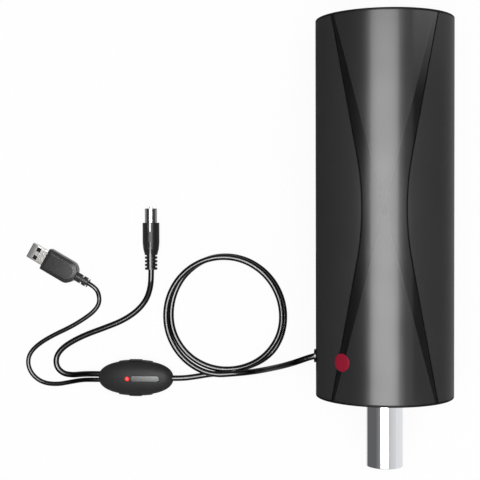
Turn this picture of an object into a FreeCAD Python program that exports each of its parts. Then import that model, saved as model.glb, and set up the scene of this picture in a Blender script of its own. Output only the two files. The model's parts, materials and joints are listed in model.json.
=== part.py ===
import FreeCAD, Part
import Sketcher
import math
import os
import re

# Amplified TV antenna, lying on its back on a table, with its leads laid out beside it.
# +Y is the antenna's own up, +Z is its front, the table is z = 0. Millimetres.

doc = FreeCAD.newDocument("antenna")
sheet = doc.addObject("Spreadsheet::Sheet", "Sizes")

SIZES = {
    # head
    "housing_radius": 46.5,
    "housing_length": 254.5,
    "rim_thickness": 1.6,
    "rim_round": 0.7,
    "skin_thickness": 2.0,
    "core_wall": 2.4,
    "seam_gap": 0.45,
    "fit_gap": 0.1,
    "inlay_sink": 0.3,
    # waisted edge of the cheeks and the straight creases of the bow-tie front
    "waist_half_width": 14.8,
    "end_half_width": 34.9,
    "waist_arc_radius": 185.0,
    "crease_half_width": 32.5,
    "crease_neck": 0.2,
    # caps and screws
    "skirt_length": 7.0,
    "skirt_wall": 2.2,
    "cap_plate": 3.0,
    "boss_inset": 3.6,
    "boss_radius": 4.4,
    "boss_height": 18.0,
    "screw_radius": 1.5,
    "screw_length": 12.0,
    "screw_head_radius": 2.8,
    "screw_head_height": 1.2,
    # mast
    "mast_radius": 12.5,
    "mast_seat_radius": 12.3,
    "mast_wall": 1.2,
    "mast_exposed": 47.6,
    "mast_depth": 58.0,
    "socket_wall": 3.0,
    "socket_roof": 2.0,
    "pin_radius": 2.0,
    "pin_height": 40.0,
    # cable hatch, gland and badge on the left side
    "hatch_length": 80.0,
    "hatch_width": 24.0,
    "hatch_center": 57.7,
    "hatch_ledge": 3.5,
    "gland_height": 26.7,
    "gland_radius": 3.6,
    "gland_flange": 4.6,
    "gland_lip": 1.2,
    "gland_clearance": 0.4,
    "badge_radius": 5.9,
    "badge_thickness": 0.8,
    "badge_height": 27.4,
    "badge_shift": 27.3,
    # board and what it carries
    "board_inset": 2.0,
    "board_thickness": 1.6,
    "board_bottom": 72.0,
    "board_headroom": 12.5,
    "rail_overlap": 4.0,
    "rail_thickness": 2.0,
    "foil_thickness": 0.3,
    "feed_height": 168.0,
    "wing_inset": 10.0,
    "wing_height": 42.0,
    "feed_gap": 2.0,
    "loop_inset": 6.0,
    "loop_length": 130.0,
    "loop_strip": 3.0,
    "balun_width": 13.0,
    "balun_length": 11.0,
    "balun_height": 7.0,
    "balun_bore": 1.9,
    "shield_width": 36.0,
    "shield_length": 28.0,
    "shield_height": 7.0,
    "shield_wall": 0.5,
    "chip_side": 6.0,
    "chip_height": 1.3,
    # power pod
    "pod_half_length": 28.1,
    "pod_half_width": 12.6,
    "pod_half_height": 7.5,
    "pod_nose_radius": 11.0,
    "pod_round": 6.2,
    "pod_wall": 1.6,
    "pod_rib": 0.45,
    "pod_rib_height": 2.0,
    "pod_rib_reach": 12.4,
    "pod_rib_short": 4.5,
    "pod_cord_gap": 2.2,
    "lens_length": 22.0,
    "lens_width": 5.2,
    "lens_thickness": 1.0,
    "lens_shift": 8.0,
    "led_radius": 1.7,
    "led_shift": -5.0,
    "led_proud": 0.6,
    "led_round": 1.0,
    "pod_board_length": 34.0,
    "pod_board_width": 14.0,
    "pod_board_thickness": 1.2,
    "pod_post_height": 3.0,
    "pod_post_radius": 2.2,
    "choke_radius": 4.0,
    "choke_height": 5.0,
    # power plug
    "plug_shell_width": 12.0,
    "plug_shell_height": 4.5,
    "plug_shell_wall": 0.35,
    "plug_shell_reach": 13.4,
    "plug_shell_seat": 7.0,
    "plug_hole_side": 2.2,
    "plug_hole_spacing": 5.0,
    "plug_hole_setback": 5.0,
    "tongue_height": 1.8,
    "tongue_setback": 1.0,
    "contact_width": 1.0,
    "contact_pitch": 2.3,
    "contact_thickness": 0.2,
    "grip_length": 27.0,
    "grip_width": 17.0,
    "grip_height": 8.6,
    "grip_corner": 4.4,
    "grip_bevel": 0.9,
    "panel_inset": 2.2,
    "panel_height": 0.7,
    "panel_bevel": 0.6,
    "plug_boot_length": 10.6,
    "plug_boot_radius": 3.5,
    "boot_slot": 1.0,
    "boot_slot_pitch": 4.6,
    # aerial plug
    "aerial_radius": 6.2,
    "aerial_length": 23.5,
    "aerial_straight": 14.5,
    "aerial_shoulder": 19.5,
    "aerial_shoulder_radius": 5.7,
    "barrel_radius": 4.5,
    "barrel_seat_radius": 4.3,
    "barrel_wall": 0.5,
    "barrel_reach": 10.5,
    "barrel_seat": 9.0,
    "aerial_pin_radius": 1.2,
    "aerial_pin_proud": 1.3,
    "aerial_slot_width": 1.9,
    "aerial_slot_length": 6.6,
    "aerial_groove_start": 14.0,
    "aerial_boot_radius": 4.6,
    "aerial_boot_length": 11.0,
    "aerial_rib_pitch": 2.7,
    "aerial_rib_slot": 1.1,
    "aerial_rib_depth": 1.3,
    # leads
    "lead_in_height": 11.9,
    "inner_lead_inset": 10.0,
    "antenna_cord_radius": 2.1,
    "tv_lead_radius": 2.15,
    "power_lead_radius": 1.7,
    "coil_outer_radius": 45.6,
    "coil_band": 6.0,
    "coil_inner_shift": 1.8,
    "coil_height": 8.4,
    "coil_round": 2.0,
}

for row, (name, value) in enumerate(SIZES.items(), start=1):
    sheet.set(f"A{row}", name)
    sheet.set(f"B{row}", str(value))
    sheet.setAlias(f"B{row}", name)
doc.recompute()

# Sizes that follow from the driving ones
BODY_LOW = "rim_thickness"
BODY_HIGH = "(housing_length - rim_thickness)"
BODY_SPAN = "(housing_length - 2 * rim_thickness)"
MIDDLE = "housing_length / 2"
CORE_RADIUS = "(housing_radius - skin_thickness - fit_gap)"
SKIN_INNER = "(housing_radius - skin_thickness)"
BORE_RADIUS = "(housing_radius - skin_thickness - fit_gap - core_wall)"
BOSS_CIRCLE = "(housing_radius - skin_thickness - fit_gap - core_wall - boss_inset)"
SCREW_CENTERS = [
    (f"{x} * {BOSS_CIRCLE} * sqrt(0.5)", f"{y} * {BOSS_CIRCLE} * sqrt(0.5)")
    for x in (-1, 1) for y in (-1, 1)]
BOARD_HALF_WIDTH = "(housing_radius - skin_thickness - fit_gap - core_wall - board_inset)"
LOOP_HALF_WIDTH = "(housing_radius - skin_thickness - fit_gap - core_wall - board_inset - loop_inset)"
SOCKET_BORE = "(mast_seat_radius + fit_gap)"
SOCKET_RADIUS = "(mast_seat_radius + fit_gap + socket_wall)"
SOCKET_TOP = "(mast_depth + socket_roof)"
BOARD_LENGTH = "(housing_length - board_bottom - board_headroom)"
BOARD_TOP = "(housing_length - board_headroom)"
BOARD_FACE = "board_thickness / 2"
HEAD_BASE = "(mast_exposed - housing_length) / 2"
# Reach of the blocks and cuts that are trimmed to the round housing afterwards
OUTSIDE = "(1.5 * housing_radius)"
FAR_OUTSIDE = "(4 * housing_radius)"

# Where the pieces on the leads lie on the table, read off the way the leads run
POD_PLACE = ("-182.0", "-100.05")
POWER_PLUG_PLACE = ("-251.2", "-12.19")
POWER_PLUG_TURN = 150.3
AERIAL_PLUG_PLACE = ("-170.4", "14.25")
COIL_PLACE = ("-116.0", "-54.75")


def bound(formula):
    """The formula with each size's name pointing at its spreadsheet cell."""
    return re.sub(r"[a-z_]+", lambda w: "Sizes." + w.group() if w.group() in SIZES else w.group(), formula)


def number(formula):
    """The formula's value, for the first guess of a sketch and for free shapes."""
    return float(sheet.evalExpression(bound(formula)))


def bind(obj, **formulas):
    for prop, formula in formulas.items():
        obj.setExpression(prop, bound(formula))


def place(obj, base, rotation=None):
    """Put a finished piece on the table: three formulas and a fixed turn."""
    obj.Placement = FreeCAD.Placement(FreeCAD.Vector(), rotation or FreeCAD.Rotation())
    for axis, formula in zip("xyz", base):
        obj.setExpression("Placement.Base." + axis, bound(formula))


def on_head(obj):
    """Local z runs up the antenna and local -y is its front; it lies on its back."""
    lying = FreeCAD.Rotation(FreeCAD.Vector(1, 0, 0), -90)
    place(obj, ("0", HEAD_BASE, "housing_radius"), lying)


def on_pod(obj):
    place(obj, (POD_PLACE[0], POD_PLACE[1], "pod_half_height"))


def on_power_plug(obj):
    """Local x points at the plug's tip, and its mouth is at local x = 0."""
    turn = FreeCAD.Rotation(FreeCAD.Vector(0, 0, 1), POWER_PLUG_TURN)
    place(obj, (POWER_PLUG_PLACE[0], POWER_PLUG_PLACE[1], "grip_height / 2"), turn)


def on_aerial_plug(obj):
    """Local z points at the plug's tip, and local -y faces up."""
    lying = FreeCAD.Rotation(FreeCAD.Vector(1, 0, 0), -90)
    place(obj, (AERIAL_PLUG_PLACE[0], AERIAL_PLUG_PLACE[1], "aerial_radius"), lying)


def new_body(name):
    body = doc.addObject("PartDesign::Body", name)
    body.Label = name
    return body


def sketch_on(body, role, lift="0"):
    """An empty sketch on one of the body's own origin planes, lifted along its normal."""
    plane = [f for f in body.Origin.OriginFeatures if f.Role == role][0]
    sketch = body.newObject("Sketcher::SketchObject", body.Name + "_sketch")
    sketch.AttachmentSupport = (plane, [""])
    sketch.MapMode = "FlatFace"
    sketch.setExpression("AttachmentOffset.Base.z", bound(lift))
    return sketch


def pin_point(sketch, geometry, end, x, y):
    """Tie one point of a sketch to two formulas, measured from the sketch's origin."""
    for kind, formula in (("DistanceX", x), ("DistanceY", y)):
        rule = Sketcher.Constraint(kind, -1, 1, geometry, end, number(formula))
        index = sketch.addConstraint(rule)
        sketch.setExpression(f"Constraints[{index}]", bound(formula))


def pin_radius(sketch, geometry, formula):
    index = sketch.addConstraint(Sketcher.Constraint("Radius", geometry, number(formula)))
    sketch.setExpression(f"Constraints[{index}]", bound(formula))


def spot(x, y):
    return FreeCAD.Vector(number(x), number(y), 0)


def draw_polygon(sketch, corners):
    """A closed outline of straight edges, every corner tied to its formulas."""
    first = sketch.GeometryCount
    count = len(corners)
    for i in range(count):
        sketch.addGeometry(Part.LineSegment(spot(*corners[i]), spot(*corners[(i + 1) % count])))
    for i in range(count):
        sketch.addConstraint(Sketcher.Constraint("Coincident", first + i, 2, first + (i + 1) % count, 1))
    for i, (x, y) in enumerate(corners):
        pin_point(sketch, first + i, 1, x, y)


def draw_rectangle(sketch, left, low, right, high):
    draw_polygon(sketch, [(left, low), (right, low), (right, high), (left, high)])


def draw_circle(sketch, x, y, radius):
    index = sketch.addGeometry(Part.Circle(spot(x, y), FreeCAD.Vector(0, 0, 1), number(radius)))
    pin_point(sketch, index, 3, x, y)
    pin_radius(sketch, index, radius)


def draw_waisted(sketch, side, inset, corners):
    """An outline with one waisted edge: two straight lines tangent to a wide arc at mid height.

    side is -1 for the left edge and 1 for the right one, inset moves the edge towards the middle,
    and corners close the outline from the edge's upper end round to its lower end.
    """
    end_x = f"{side} * (end_half_width - {inset})"
    center_x = f"{side} * (waist_half_width + waist_arc_radius)"
    radius = f"(waist_arc_radius + {inset})"
    low, high, center = spot(end_x, "0"), spot(end_x, "housing_length"), spot(center_x, MIDDLE)
    reach = center - low
    swing = math.asin(number(radius) / reach.Length)
    tangent = math.sqrt(reach.Length ** 2 - number(radius) ** 2)
    heading = math.atan2(reach.y, reach.x) + side * swing
    touch = low + FreeCAD.Vector(tangent * math.cos(heading), tangent * math.sin(heading), 0)
    mirror = FreeCAD.Vector(touch.x, 2 * center.y - touch.y, 0)
    lean = math.asin((mirror.y - center.y) / number(radius))
    facing = 0 if side < 0 else math.pi
    circle = Part.Circle(center, FreeCAD.Vector(0, 0, 1), number(radius))
    first = sketch.GeometryCount
    sketch.addGeometry(Part.LineSegment(low, touch))
    sketch.addGeometry(Part.ArcOfCircle(circle, facing - lean, facing + lean))
    sketch.addGeometry(Part.LineSegment(mirror, high))
    start, stop = (1, 2) if side < 0 else (2, 1)
    sketch.addConstraint(Sketcher.Constraint("Tangent", first, 2, first + 1, start))
    sketch.addConstraint(Sketcher.Constraint("Tangent", first + 1, stop, first + 2, 1))
    pin_point(sketch, first, 1, end_x, "0")
    pin_point(sketch, first + 2, 2, end_x, "housing_length")
    pin_point(sketch, first + 1, 3, center_x, MIDDLE)
    pin_radius(sketch, first + 1, radius)
    path = [(end_x, "housing_length")] + corners + [(end_x, "0")]
    edges = []
    for a, b in zip(path, path[1:]):
        edges.append(sketch.addGeometry(Part.LineSegment(spot(*a), spot(*b))))
    joints = [first + 2] + edges + [first]
    for a, b in zip(joints, joints[1:]):
        sketch.addConstraint(Sketcher.Constraint("Coincident", a, 2, b, 1))
    for edge, (x, y) in zip(edges[1:], corners):
        pin_point(sketch, edge, 1, x, y)


def pad(body, sketch, length, midplane=False, reverse=False):
    feature = body.newObject("PartDesign::Pad", body.Name + "_pad")
    feature.Profile = sketch
    feature.Midplane = midplane
    feature.Reversed = reverse
    bind(feature, Length=length)
    doc.recompute()
    return feature


def pocket(body, sketch, length=None, midplane=False, reverse=False):
    feature = body.newObject("PartDesign::Pocket", body.Name + "_pocket")
    feature.Profile = sketch
    feature.Midplane = midplane
    feature.Reversed = reverse
    if length is None:
        feature.Type = "ThroughAll"
    else:
        bind(feature, Length=length)
    before = body.Shape.Volume
    doc.recompute()
    if body.Shape.Volume > before - 1e-6:
        raise RuntimeError(f"a pocket in {body.Label} cuts nothing")
    return feature


def revolve(body, sketch, axis_role):
    axis = [f for f in body.Origin.OriginFeatures if f.Role == axis_role][0]
    feature = body.newObject("PartDesign::Revolution", body.Name + "_turned")
    feature.Profile = sketch
    feature.ReferenceAxis = (axis, [""])
    feature.Angle = 360
    doc.recompute()
    return feature


def dress_edges(body, kind, chosen, **size):
    """Fillet or chamfer the tip's edges that the chosen test picks."""
    base = body.Tip
    names = [f"Edge{i}" for i, edge in enumerate(base.Shape.Edges, start=1) if chosen(edge)]
    feature = body.newObject("PartDesign::" + kind, body.Name + "_" + kind.lower())
    feature.Base = (base, names)
    bind(feature, **size)
    doc.recompute()
    return feature


def round_edges(body, radius, chosen):
    return dress_edges(body, "Fillet", chosen, Radius=radius)


def trim_to_ring(body, inner, outer):
    """Cut a padded block down to the stretch between two cylinders about the antenna's axis."""
    sketch = sketch_on(body, "XY_Plane")
    draw_circle(sketch, "0", "0", inner)
    pocket(body, sketch, reverse=True)
    sketch = sketch_on(body, "XY_Plane")
    draw_circle(sketch, "0", "0", outer)
    draw_circle(sketch, "0", "0", FAR_OUTSIDE)
    pocket(body, sketch, reverse=True)


def boolean(kind, name, base, tool):
    obj = doc.addObject(kind, name)
    obj.Label = name
    obj.Base = base
    obj.Tool = tool
    doc.recompute()
    return obj


pieces = []


def keep(obj):
    pieces.append(obj)
    return obj


# Core shell: a moulded tube whose bow-tie fronts stand up to the outside of the housing

def make_core_shell():
    body = new_body("core_shell")
    sketch = sketch_on(body, "XY_Plane", BODY_LOW)
    draw_circle(sketch, "0", "0", CORE_RADIUS)
    pad(body, sketch, BODY_SPAN)
    sketch = sketch_on(body, "XZ_Plane")
    draw_polygon(sketch, [
        ("-crease_half_width", BODY_LOW), ("-crease_neck", MIDDLE), ("-crease_half_width", BODY_HIGH),
        ("crease_half_width", BODY_HIGH), ("crease_neck", MIDDLE), ("crease_half_width", BODY_LOW)])
    pad(body, sketch, "2 * " + OUTSIDE, midplane=True)
    trim_to_ring(body, BORE_RADIUS, "housing_radius")
    sketch = sketch_on(body, "XY_Plane", "board_bottom")
    for side in ("-1", "1"):
        for face in ("-1", "1"):
            near = f"{face} * ({BOARD_FACE} + fit_gap)"
            far = f"{face} * ({BOARD_FACE} + fit_gap + rail_thickness)"
            inner = f"{side} * ({BOARD_HALF_WIDTH} - rail_overlap)"
            outer = f"{side} * ({BORE_RADIUS} + core_wall / 2)"
            draw_rectangle(sketch, inner, near, outer, far)
    pad(body, sketch, BOARD_LENGTH)
    sketch = sketch_on(body, "XY_Plane", "board_bottom - rail_thickness - fit_gap")
    for side in ("-1", "1"):
        reach = f"({BOARD_FACE} + fit_gap + rail_thickness)"
        inner = f"{side} * ({BOARD_HALF_WIDTH} - rail_overlap)"
        outer = f"{side} * ({BORE_RADIUS} + core_wall / 2)"
        draw_rectangle(sketch, inner, "-1 * " + reach, outer, reach)
    pad(body, sketch, "rail_thickness")
    sketch = sketch_on(body, "XY_Plane", "cap_plate + fit_gap")
    draw_screw_circle(sketch, "boss_radius")
    pad(body, sketch, "boss_height")
    sketch = sketch_on(body, "XY_Plane", "cap_plate + fit_gap")
    draw_screw_circle(sketch, "screw_radius")
    pocket(body, sketch, "boss_height - 2 * screw_radius", reverse=True)
    sketch = sketch_on(body, "YZ_Plane")
    half_width = "(hatch_width / 2 - hatch_ledge)"
    half_length = "(hatch_length / 2 - hatch_ledge)"
    draw_rectangle(sketch, "-1 * " + half_width, "hatch_center - " + half_length,
                   half_width, "hatch_center + " + half_length)
    pocket(body, sketch)
    on_head(body)
    return body


def draw_screw_circle(sketch, radius):
    """Four circles on the diagonals, where the bottom cap's screws go."""
    for center in SCREW_CENTERS:
        draw_circle(sketch, *center, radius)


# Side cheeks: slices of a tube, cut along the waisted edge front and back

def make_cheek(name, side):
    body = new_body(name)
    sketch = sketch_on(body, "XY_Plane", BODY_LOW)
    draw_circle(sketch, "0", "0", "housing_radius")
    draw_circle(sketch, "0", "0", SKIN_INNER)
    pad(body, sketch, BODY_SPAN)
    sketch = sketch_on(body, "XZ_Plane")
    far = f"{-side} * " + OUTSIDE
    draw_waisted(sketch, side, "0", [(far, "housing_length"), (far, "0")])
    pocket(body, sketch, midplane=True)
    return body


def make_left_cheek():
    body = make_cheek("left_cheek", -1)
    sketch = sketch_on(body, "YZ_Plane")
    draw_rectangle(sketch, "-hatch_width / 2", "hatch_center - hatch_length / 2",
                   "hatch_width / 2", "hatch_center + hatch_length / 2")
    pocket(body, sketch)
    on_head(body)
    return body


# Crescent inlays between the bow-tie's creases and the cheeks' waisted edges

def make_inlay(name, side, front):
    body = new_body(name)
    sketch = sketch_on(body, "XZ_Plane")
    crease = f"{side} * (crease_half_width + fit_gap)"
    tip = f"{side} * (crease_neck + fit_gap)"
    draw_waisted(sketch, side, "seam_gap", [
        (crease, "housing_length"), (crease, BODY_HIGH), (tip, MIDDLE), (crease, BODY_LOW), (crease, "0")])
    pad(body, sketch, OUTSIDE, reverse=not front)
    trim_to_ring(body, SKIN_INNER, "(housing_radius - inlay_sink)")
    sketch = sketch_on(body, "XZ_Plane")
    draw_rectangle(sketch, "-1 * " + OUTSIDE, "-rim_thickness", OUTSIDE, BODY_LOW)
    draw_rectangle(sketch, "-1 * " + OUTSIDE, BODY_HIGH, OUTSIDE, "housing_length + rim_thickness")
    pocket(body, sketch, midplane=True)
    on_head(body)
    return body


# End caps, turned about the antenna's axis

def make_top_cap():
    body = new_body("top_cap")
    sketch = sketch_on(body, "XZ_Plane")
    skirt_outer = f"({BORE_RADIUS} - fit_gap)"
    skirt_inner = f"({BORE_RADIUS} - fit_gap - skirt_wall)"
    skirt_low = f"({BODY_HIGH} - skirt_length)"
    draw_polygon(sketch, [
        ("0", BODY_HIGH), (skirt_inner, BODY_HIGH), (skirt_inner, skirt_low), (skirt_outer, skirt_low),
        (skirt_outer, BODY_HIGH), ("housing_radius", BODY_HIGH), ("housing_radius", "housing_length"),
        ("0", "housing_length")])
    revolve(body, sketch, "Z_Axis")
    rim = number("housing_length")
    round_edges(body, "rim_round", lambda edge: is_ring_at(edge, rim))
    on_head(body)
    return body


def is_ring_at(edge, height):
    """A full circle about the antenna's axis at this height and at the housing's radius."""
    box = edge.BoundBox
    wide = abs(box.XMax - number("housing_radius")) < 0.01
    return wide and abs(box.ZMin - height) < 0.01 and abs(box.ZMax - height) < 0.01


def make_bottom_cap():
    body = new_body("bottom_cap")
    sketch = sketch_on(body, "XZ_Plane")
    spigot = f"({BORE_RADIUS} - fit_gap)"
    draw_polygon(sketch, [
        (SOCKET_BORE, "0"), ("housing_radius", "0"), ("housing_radius", BODY_LOW), (spigot, BODY_LOW),
        (spigot, "cap_plate"), (SOCKET_RADIUS, "cap_plate"), (SOCKET_RADIUS, SOCKET_TOP),
        ("0", SOCKET_TOP), ("0", "mast_depth"), (SOCKET_BORE, "mast_depth")])
    revolve(body, sketch, "Z_Axis")
    round_edges(body, "rim_round", lambda edge: is_ring_at(edge, 0))
    sketch = sketch_on(body, "XY_Plane")
    draw_screw_circle(sketch, "(screw_radius + fit_gap)")
    pocket(body, sketch, "cap_plate", reverse=True)
    sketch = sketch_on(body, "XY_Plane")
    draw_screw_circle(sketch, "(screw_head_radius + fit_gap)")
    pocket(body, sketch, "screw_head_height", reverse=True)
    sketch = sketch_on(body, "XZ_Plane")
    draw_circle(sketch, "0", "pin_height", "(pin_radius + fit_gap / 2)")
    pocket(body, sketch, midplane=True)
    on_head(body)
    return body


def make_cap_screws():
    body = new_body("cap_screws")
    for center in SCREW_CENTERS:
        sketch = sketch_on(body, "XY_Plane")
        draw_circle(sketch, *center, "screw_head_radius")
        pad(body, sketch, "screw_head_height")
        sketch = sketch_on(body, "XY_Plane")
        draw_circle(sketch, *center, "screw_radius - fit_gap")
        pad(body, sketch, "screw_length")
    on_head(body)
    return body


# Mast tube and the pin that crosses it inside its socket

def make_mast_tube():
    """A tube with a shoulder: turned down a little where it seats in the bottom cap's socket."""
    body = new_body("mast_tube")
    sketch = sketch_on(body, "XZ_Plane")
    bore = "(mast_radius - mast_wall)"
    seat_top = "(mast_depth - fit_gap)"
    draw_polygon(sketch, [
        (bore, "-mast_exposed"), ("mast_radius", "-mast_exposed"), ("mast_radius", "0"),
        ("mast_seat_radius", "0"), ("mast_seat_radius", seat_top), (bore, seat_top)])
    revolve(body, sketch, "Z_Axis")
    sketch = sketch_on(body, "XZ_Plane")
    draw_circle(sketch, "0", "pin_height", "(pin_radius + fit_gap / 2)")
    pocket(body, sketch, midplane=True)
    on_head(body)
    return body


def make_mast_pin():
    body = new_body("mast_pin")
    sketch = sketch_on(body, "XZ_Plane")
    draw_circle(sketch, "0", "pin_height", "pin_radius")
    pad(body, sketch, "2 * " + SOCKET_RADIUS, midplane=True)
    on_head(body)
    return body


# Cable hatch on the left side, with the gland that the antenna's cord leaves by

def make_cable_hatch():
    body = new_body("cable_hatch")
    sketch = sketch_on(body, "YZ_Plane")
    half_width = "(hatch_width / 2 - fit_gap)"
    half_length = "(hatch_length / 2 - fit_gap)"
    draw_rectangle(sketch, "-1 * " + half_width, "hatch_center - " + half_length,
                   half_width, "hatch_center + " + half_length)
    pad(body, sketch, OUTSIDE, reverse=True)
    trim_to_ring(body, SKIN_INNER, "housing_radius")
    sketch = sketch_on(body, "YZ_Plane")
    draw_circle(sketch, "0", "gland_height", "(gland_radius + fit_gap)")
    pocket(body, sketch)
    on_head(body)
    return body


def make_cord_gland():
    body = new_body("cord_gland")
    sketch = sketch_on(body, "XZ_Plane", "0")
    outer_face = "-1 * (housing_radius + gland_lip)"
    seat = "-1 * (housing_radius + fit_gap)"
    inner_seat = f"-1 * ({SKIN_INNER} - gland_clearance)"
    inner_face = f"-1 * ({SKIN_INNER} - gland_clearance - gland_lip)"
    bore = "(gland_height + antenna_cord_radius + fit_gap)"
    barrel = "(gland_height + gland_radius)"
    flange = "(gland_height + gland_flange)"
    draw_polygon(sketch, [
        (outer_face, bore), (outer_face, flange), (seat, flange), (seat, barrel), (inner_seat, barrel),
        (inner_seat, flange), (inner_face, flange), (inner_face, bore)])
    axis_ends = spot("0", "gland_height"), spot("-housing_radius", "gland_height")
    line = sketch.addGeometry(Part.LineSegment(*axis_ends))
    sketch.setConstruction(line, True)
    pin_point(sketch, line, 1, "0", "gland_height")
    pin_point(sketch, line, 2, "-housing_radius", "gland_height")
    feature = body.newObject("PartDesign::Revolution", "cord_gland_turned")
    feature.Profile = sketch
    feature.ReferenceAxis = (sketch, ["Axis0"])
    feature.Angle = 360
    doc.recompute()
    on_head(body)
    return body


# Round badge that follows the housing's curve, left plain

def make_badge():
    disc = doc.addObject("Part::Cylinder", "badge_disc")
    disc.Placement = FreeCAD.Placement(FreeCAD.Vector(), FreeCAD.Rotation(FreeCAD.Vector(1, 0, 0), 90))
    bind(disc, Radius="badge_radius", Height=OUTSIDE)
    disc.setExpression("Placement.Base.z", bound("badge_height"))
    outer = doc.addObject("Part::Cylinder", "badge_outer")
    bind(outer, Radius="housing_radius + badge_thickness", Height="housing_length")
    inner = doc.addObject("Part::Cylinder", "badge_inner")
    bind(inner, Radius="housing_radius + fit_gap", Height="housing_length")
    ring = boolean("Part::Cut", "badge_ring", outer, inner)
    badge = boolean("Part::Common", "badge", disc, ring)
    lying = FreeCAD.Rotation(FreeCAD.Vector(1, 0, 0), -90)
    angle = math.degrees(math.asin(number("badge_shift / housing_radius")))
    swung = FreeCAD.Rotation(FreeCAD.Vector(0, 0, 1), -angle)
    place(badge, ("0", HEAD_BASE, "housing_radius"), lying.multiply(swung))
    return badge


# Board that stands in the core's rails, and what is printed and soldered on it

def make_element_board():
    body = new_body("element_board")
    sketch = sketch_on(body, "XZ_Plane")
    draw_rectangle(sketch, f"-1 * {BOARD_HALF_WIDTH}", "board_bottom", BOARD_HALF_WIDTH, BOARD_TOP)
    pad(body, sketch, "board_thickness", midplane=True)
    on_head(body)
    return body


def make_uhf_elements():
    body = new_body("uhf_elements")
    for side in ("-1", "1"):
        sketch = sketch_on(body, "XZ_Plane", BOARD_FACE)
        near = f"{side} * feed_gap"
        far = f"{side} * ({BOARD_HALF_WIDTH} - wing_inset)"
        draw_polygon(sketch, [
            (near, "feed_height - feed_gap"), (far, "feed_height - wing_height / 2"),
            (far, "feed_height + wing_height / 2"), (near, "feed_height + feed_gap")])
        pad(body, sketch, "foil_thickness")
    on_head(body)
    return body


def make_vhf_loop():
    body = new_body("vhf_loop")
    sketch = sketch_on(body, "XZ_Plane", BOARD_FACE + " * -1")
    low = f"({BOARD_TOP} - loop_strip - loop_length)"
    high = f"({BOARD_TOP} - loop_strip)"
    draw_rectangle(sketch, f"-1 * {LOOP_HALF_WIDTH}", low, LOOP_HALF_WIDTH, high)
    draw_rectangle(sketch, f"loop_strip - {LOOP_HALF_WIDTH}", low + " + loop_strip",
                   LOOP_HALF_WIDTH + " - loop_strip", high + " - loop_strip")
    pad(body, sketch, "foil_thickness", reverse=True)
    on_head(body)
    return body


def make_balun_core():
    body = new_body("balun_core")
    sketch = sketch_on(body, "XY_Plane", "feed_height - wing_height / 2 - 2 * balun_length")
    back = f"-1 * {BOARD_FACE}"
    front = f"-1 * ({BOARD_FACE} + balun_height)"
    draw_rectangle(sketch, "-balun_width / 2", front, "balun_width / 2", back)
    for side in ("-1", "1"):
        middle = f"-1 * ({BOARD_FACE} + balun_height / 2)"
        draw_circle(sketch, f"{side} * balun_width / 4", middle, "balun_bore")
    pad(body, sketch, "balun_length")
    on_head(body)
    return body


def make_amplifier_shield():
    body = new_body("amplifier_shield")
    low = "(board_bottom + shield_wall)"
    sketch = sketch_on(body, "XZ_Plane", BOARD_FACE)
    draw_rectangle(sketch, "-shield_width / 2", low, "shield_width / 2", low + " + shield_length")
    pad(body, sketch, "shield_height")
    sketch = sketch_on(body, "XZ_Plane", BOARD_FACE)
    draw_rectangle(sketch, "-shield_width / 2 + shield_wall", low + " + shield_wall",
                   "shield_width / 2 - shield_wall", low + " + shield_length - shield_wall")
    pocket(body, sketch, "shield_height - shield_wall", reverse=True)
    on_head(body)
    return body


def make_amplifier_chip():
    body = new_body("amplifier_chip")
    sketch = sketch_on(body, "XZ_Plane", BOARD_FACE)
    low = "(board_bottom + shield_length / 2 - chip_side / 2)"
    draw_rectangle(sketch, "-chip_side / 2", low, "chip_side / 2", low + " + chip_side")
    pad(body, sketch, "chip_height")
    on_head(body)
    return body


# Power pod: two shells of a lens-shaped case, with a window, a lamp and a small board inside

def draw_lens(sketch, inset):
    """The pod's plan: two wide arcs joined by two round noses, all tangent."""
    half_length = number("pod_half_length") - number(inset)
    half_width = number("pod_half_width") - number(inset)
    nose = number("pod_nose_radius") - number(inset)
    nose_x = half_length - nose
    wide = (nose_x ** 2 + half_width ** 2 - nose ** 2) / (2 * (half_width - nose))
    lean = math.asin(nose_x / (wide - nose))
    touch = FreeCAD.Vector(nose_x + nose * math.sin(lean), nose * math.cos(lean), 0)
    corner = {
        (sx, sy): FreeCAD.Vector(sx * touch.x, sy * touch.y, 0) for sx in (-1, 1) for sy in (-1, 1)}
    first = sketch.GeometryCount
    sketch.addGeometry(Part.Arc(corner[1, 1], FreeCAD.Vector(0, half_width, 0), corner[-1, 1]))
    sketch.addGeometry(Part.Arc(corner[-1, 1], FreeCAD.Vector(-half_length, 0, 0), corner[-1, -1]))
    sketch.addGeometry(Part.Arc(corner[-1, -1], FreeCAD.Vector(0, -half_width, 0), corner[1, -1]))
    sketch.addGeometry(Part.Arc(corner[1, -1], FreeCAD.Vector(half_length, 0, 0), corner[1, 1]))
    for i in range(4):
        sketch.addConstraint(Sketcher.Constraint("Tangent", first + i, 2, first + (i + 1) % 4, 1))
    pin_point(sketch, first + 1, 3, "-1 * (pod_half_length - pod_nose_radius)", "0")
    pin_point(sketch, first + 3, 3, "(pod_half_length - pod_nose_radius)", "0")
    pin_radius(sketch, first + 1, f"(pod_nose_radius - {inset})")
    pin_radius(sketch, first + 3, f"(pod_nose_radius - {inset})")
    centre = "((pod_half_length - pod_nose_radius) ^ 2 + (pod_half_width - {0}) ^ 2"
    centre += " - (pod_nose_radius - {0}) ^ 2) / (2 * (pod_half_width - pod_nose_radius))"
    pin_radius(sketch, first, centre.format(inset))
    pin_radius(sketch, first + 2, centre.format(inset))


def make_pebble(name, inset, upward):
    """Half of a pebble with the pod's plan, rounded over its far edge."""
    body = new_body(name)
    sketch = sketch_on(body, "XY_Plane")
    draw_lens(sketch, inset)
    pad(body, sketch, f"(pod_half_height - {inset})", reverse=not upward)
    far = number(f"(pod_half_height - {inset})") * (1 if upward else -1)
    round_edges(body, f"(pod_round - {inset})", lambda edge: abs(edge.BoundBox.Center.z - far) < 0.01)
    return body


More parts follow.
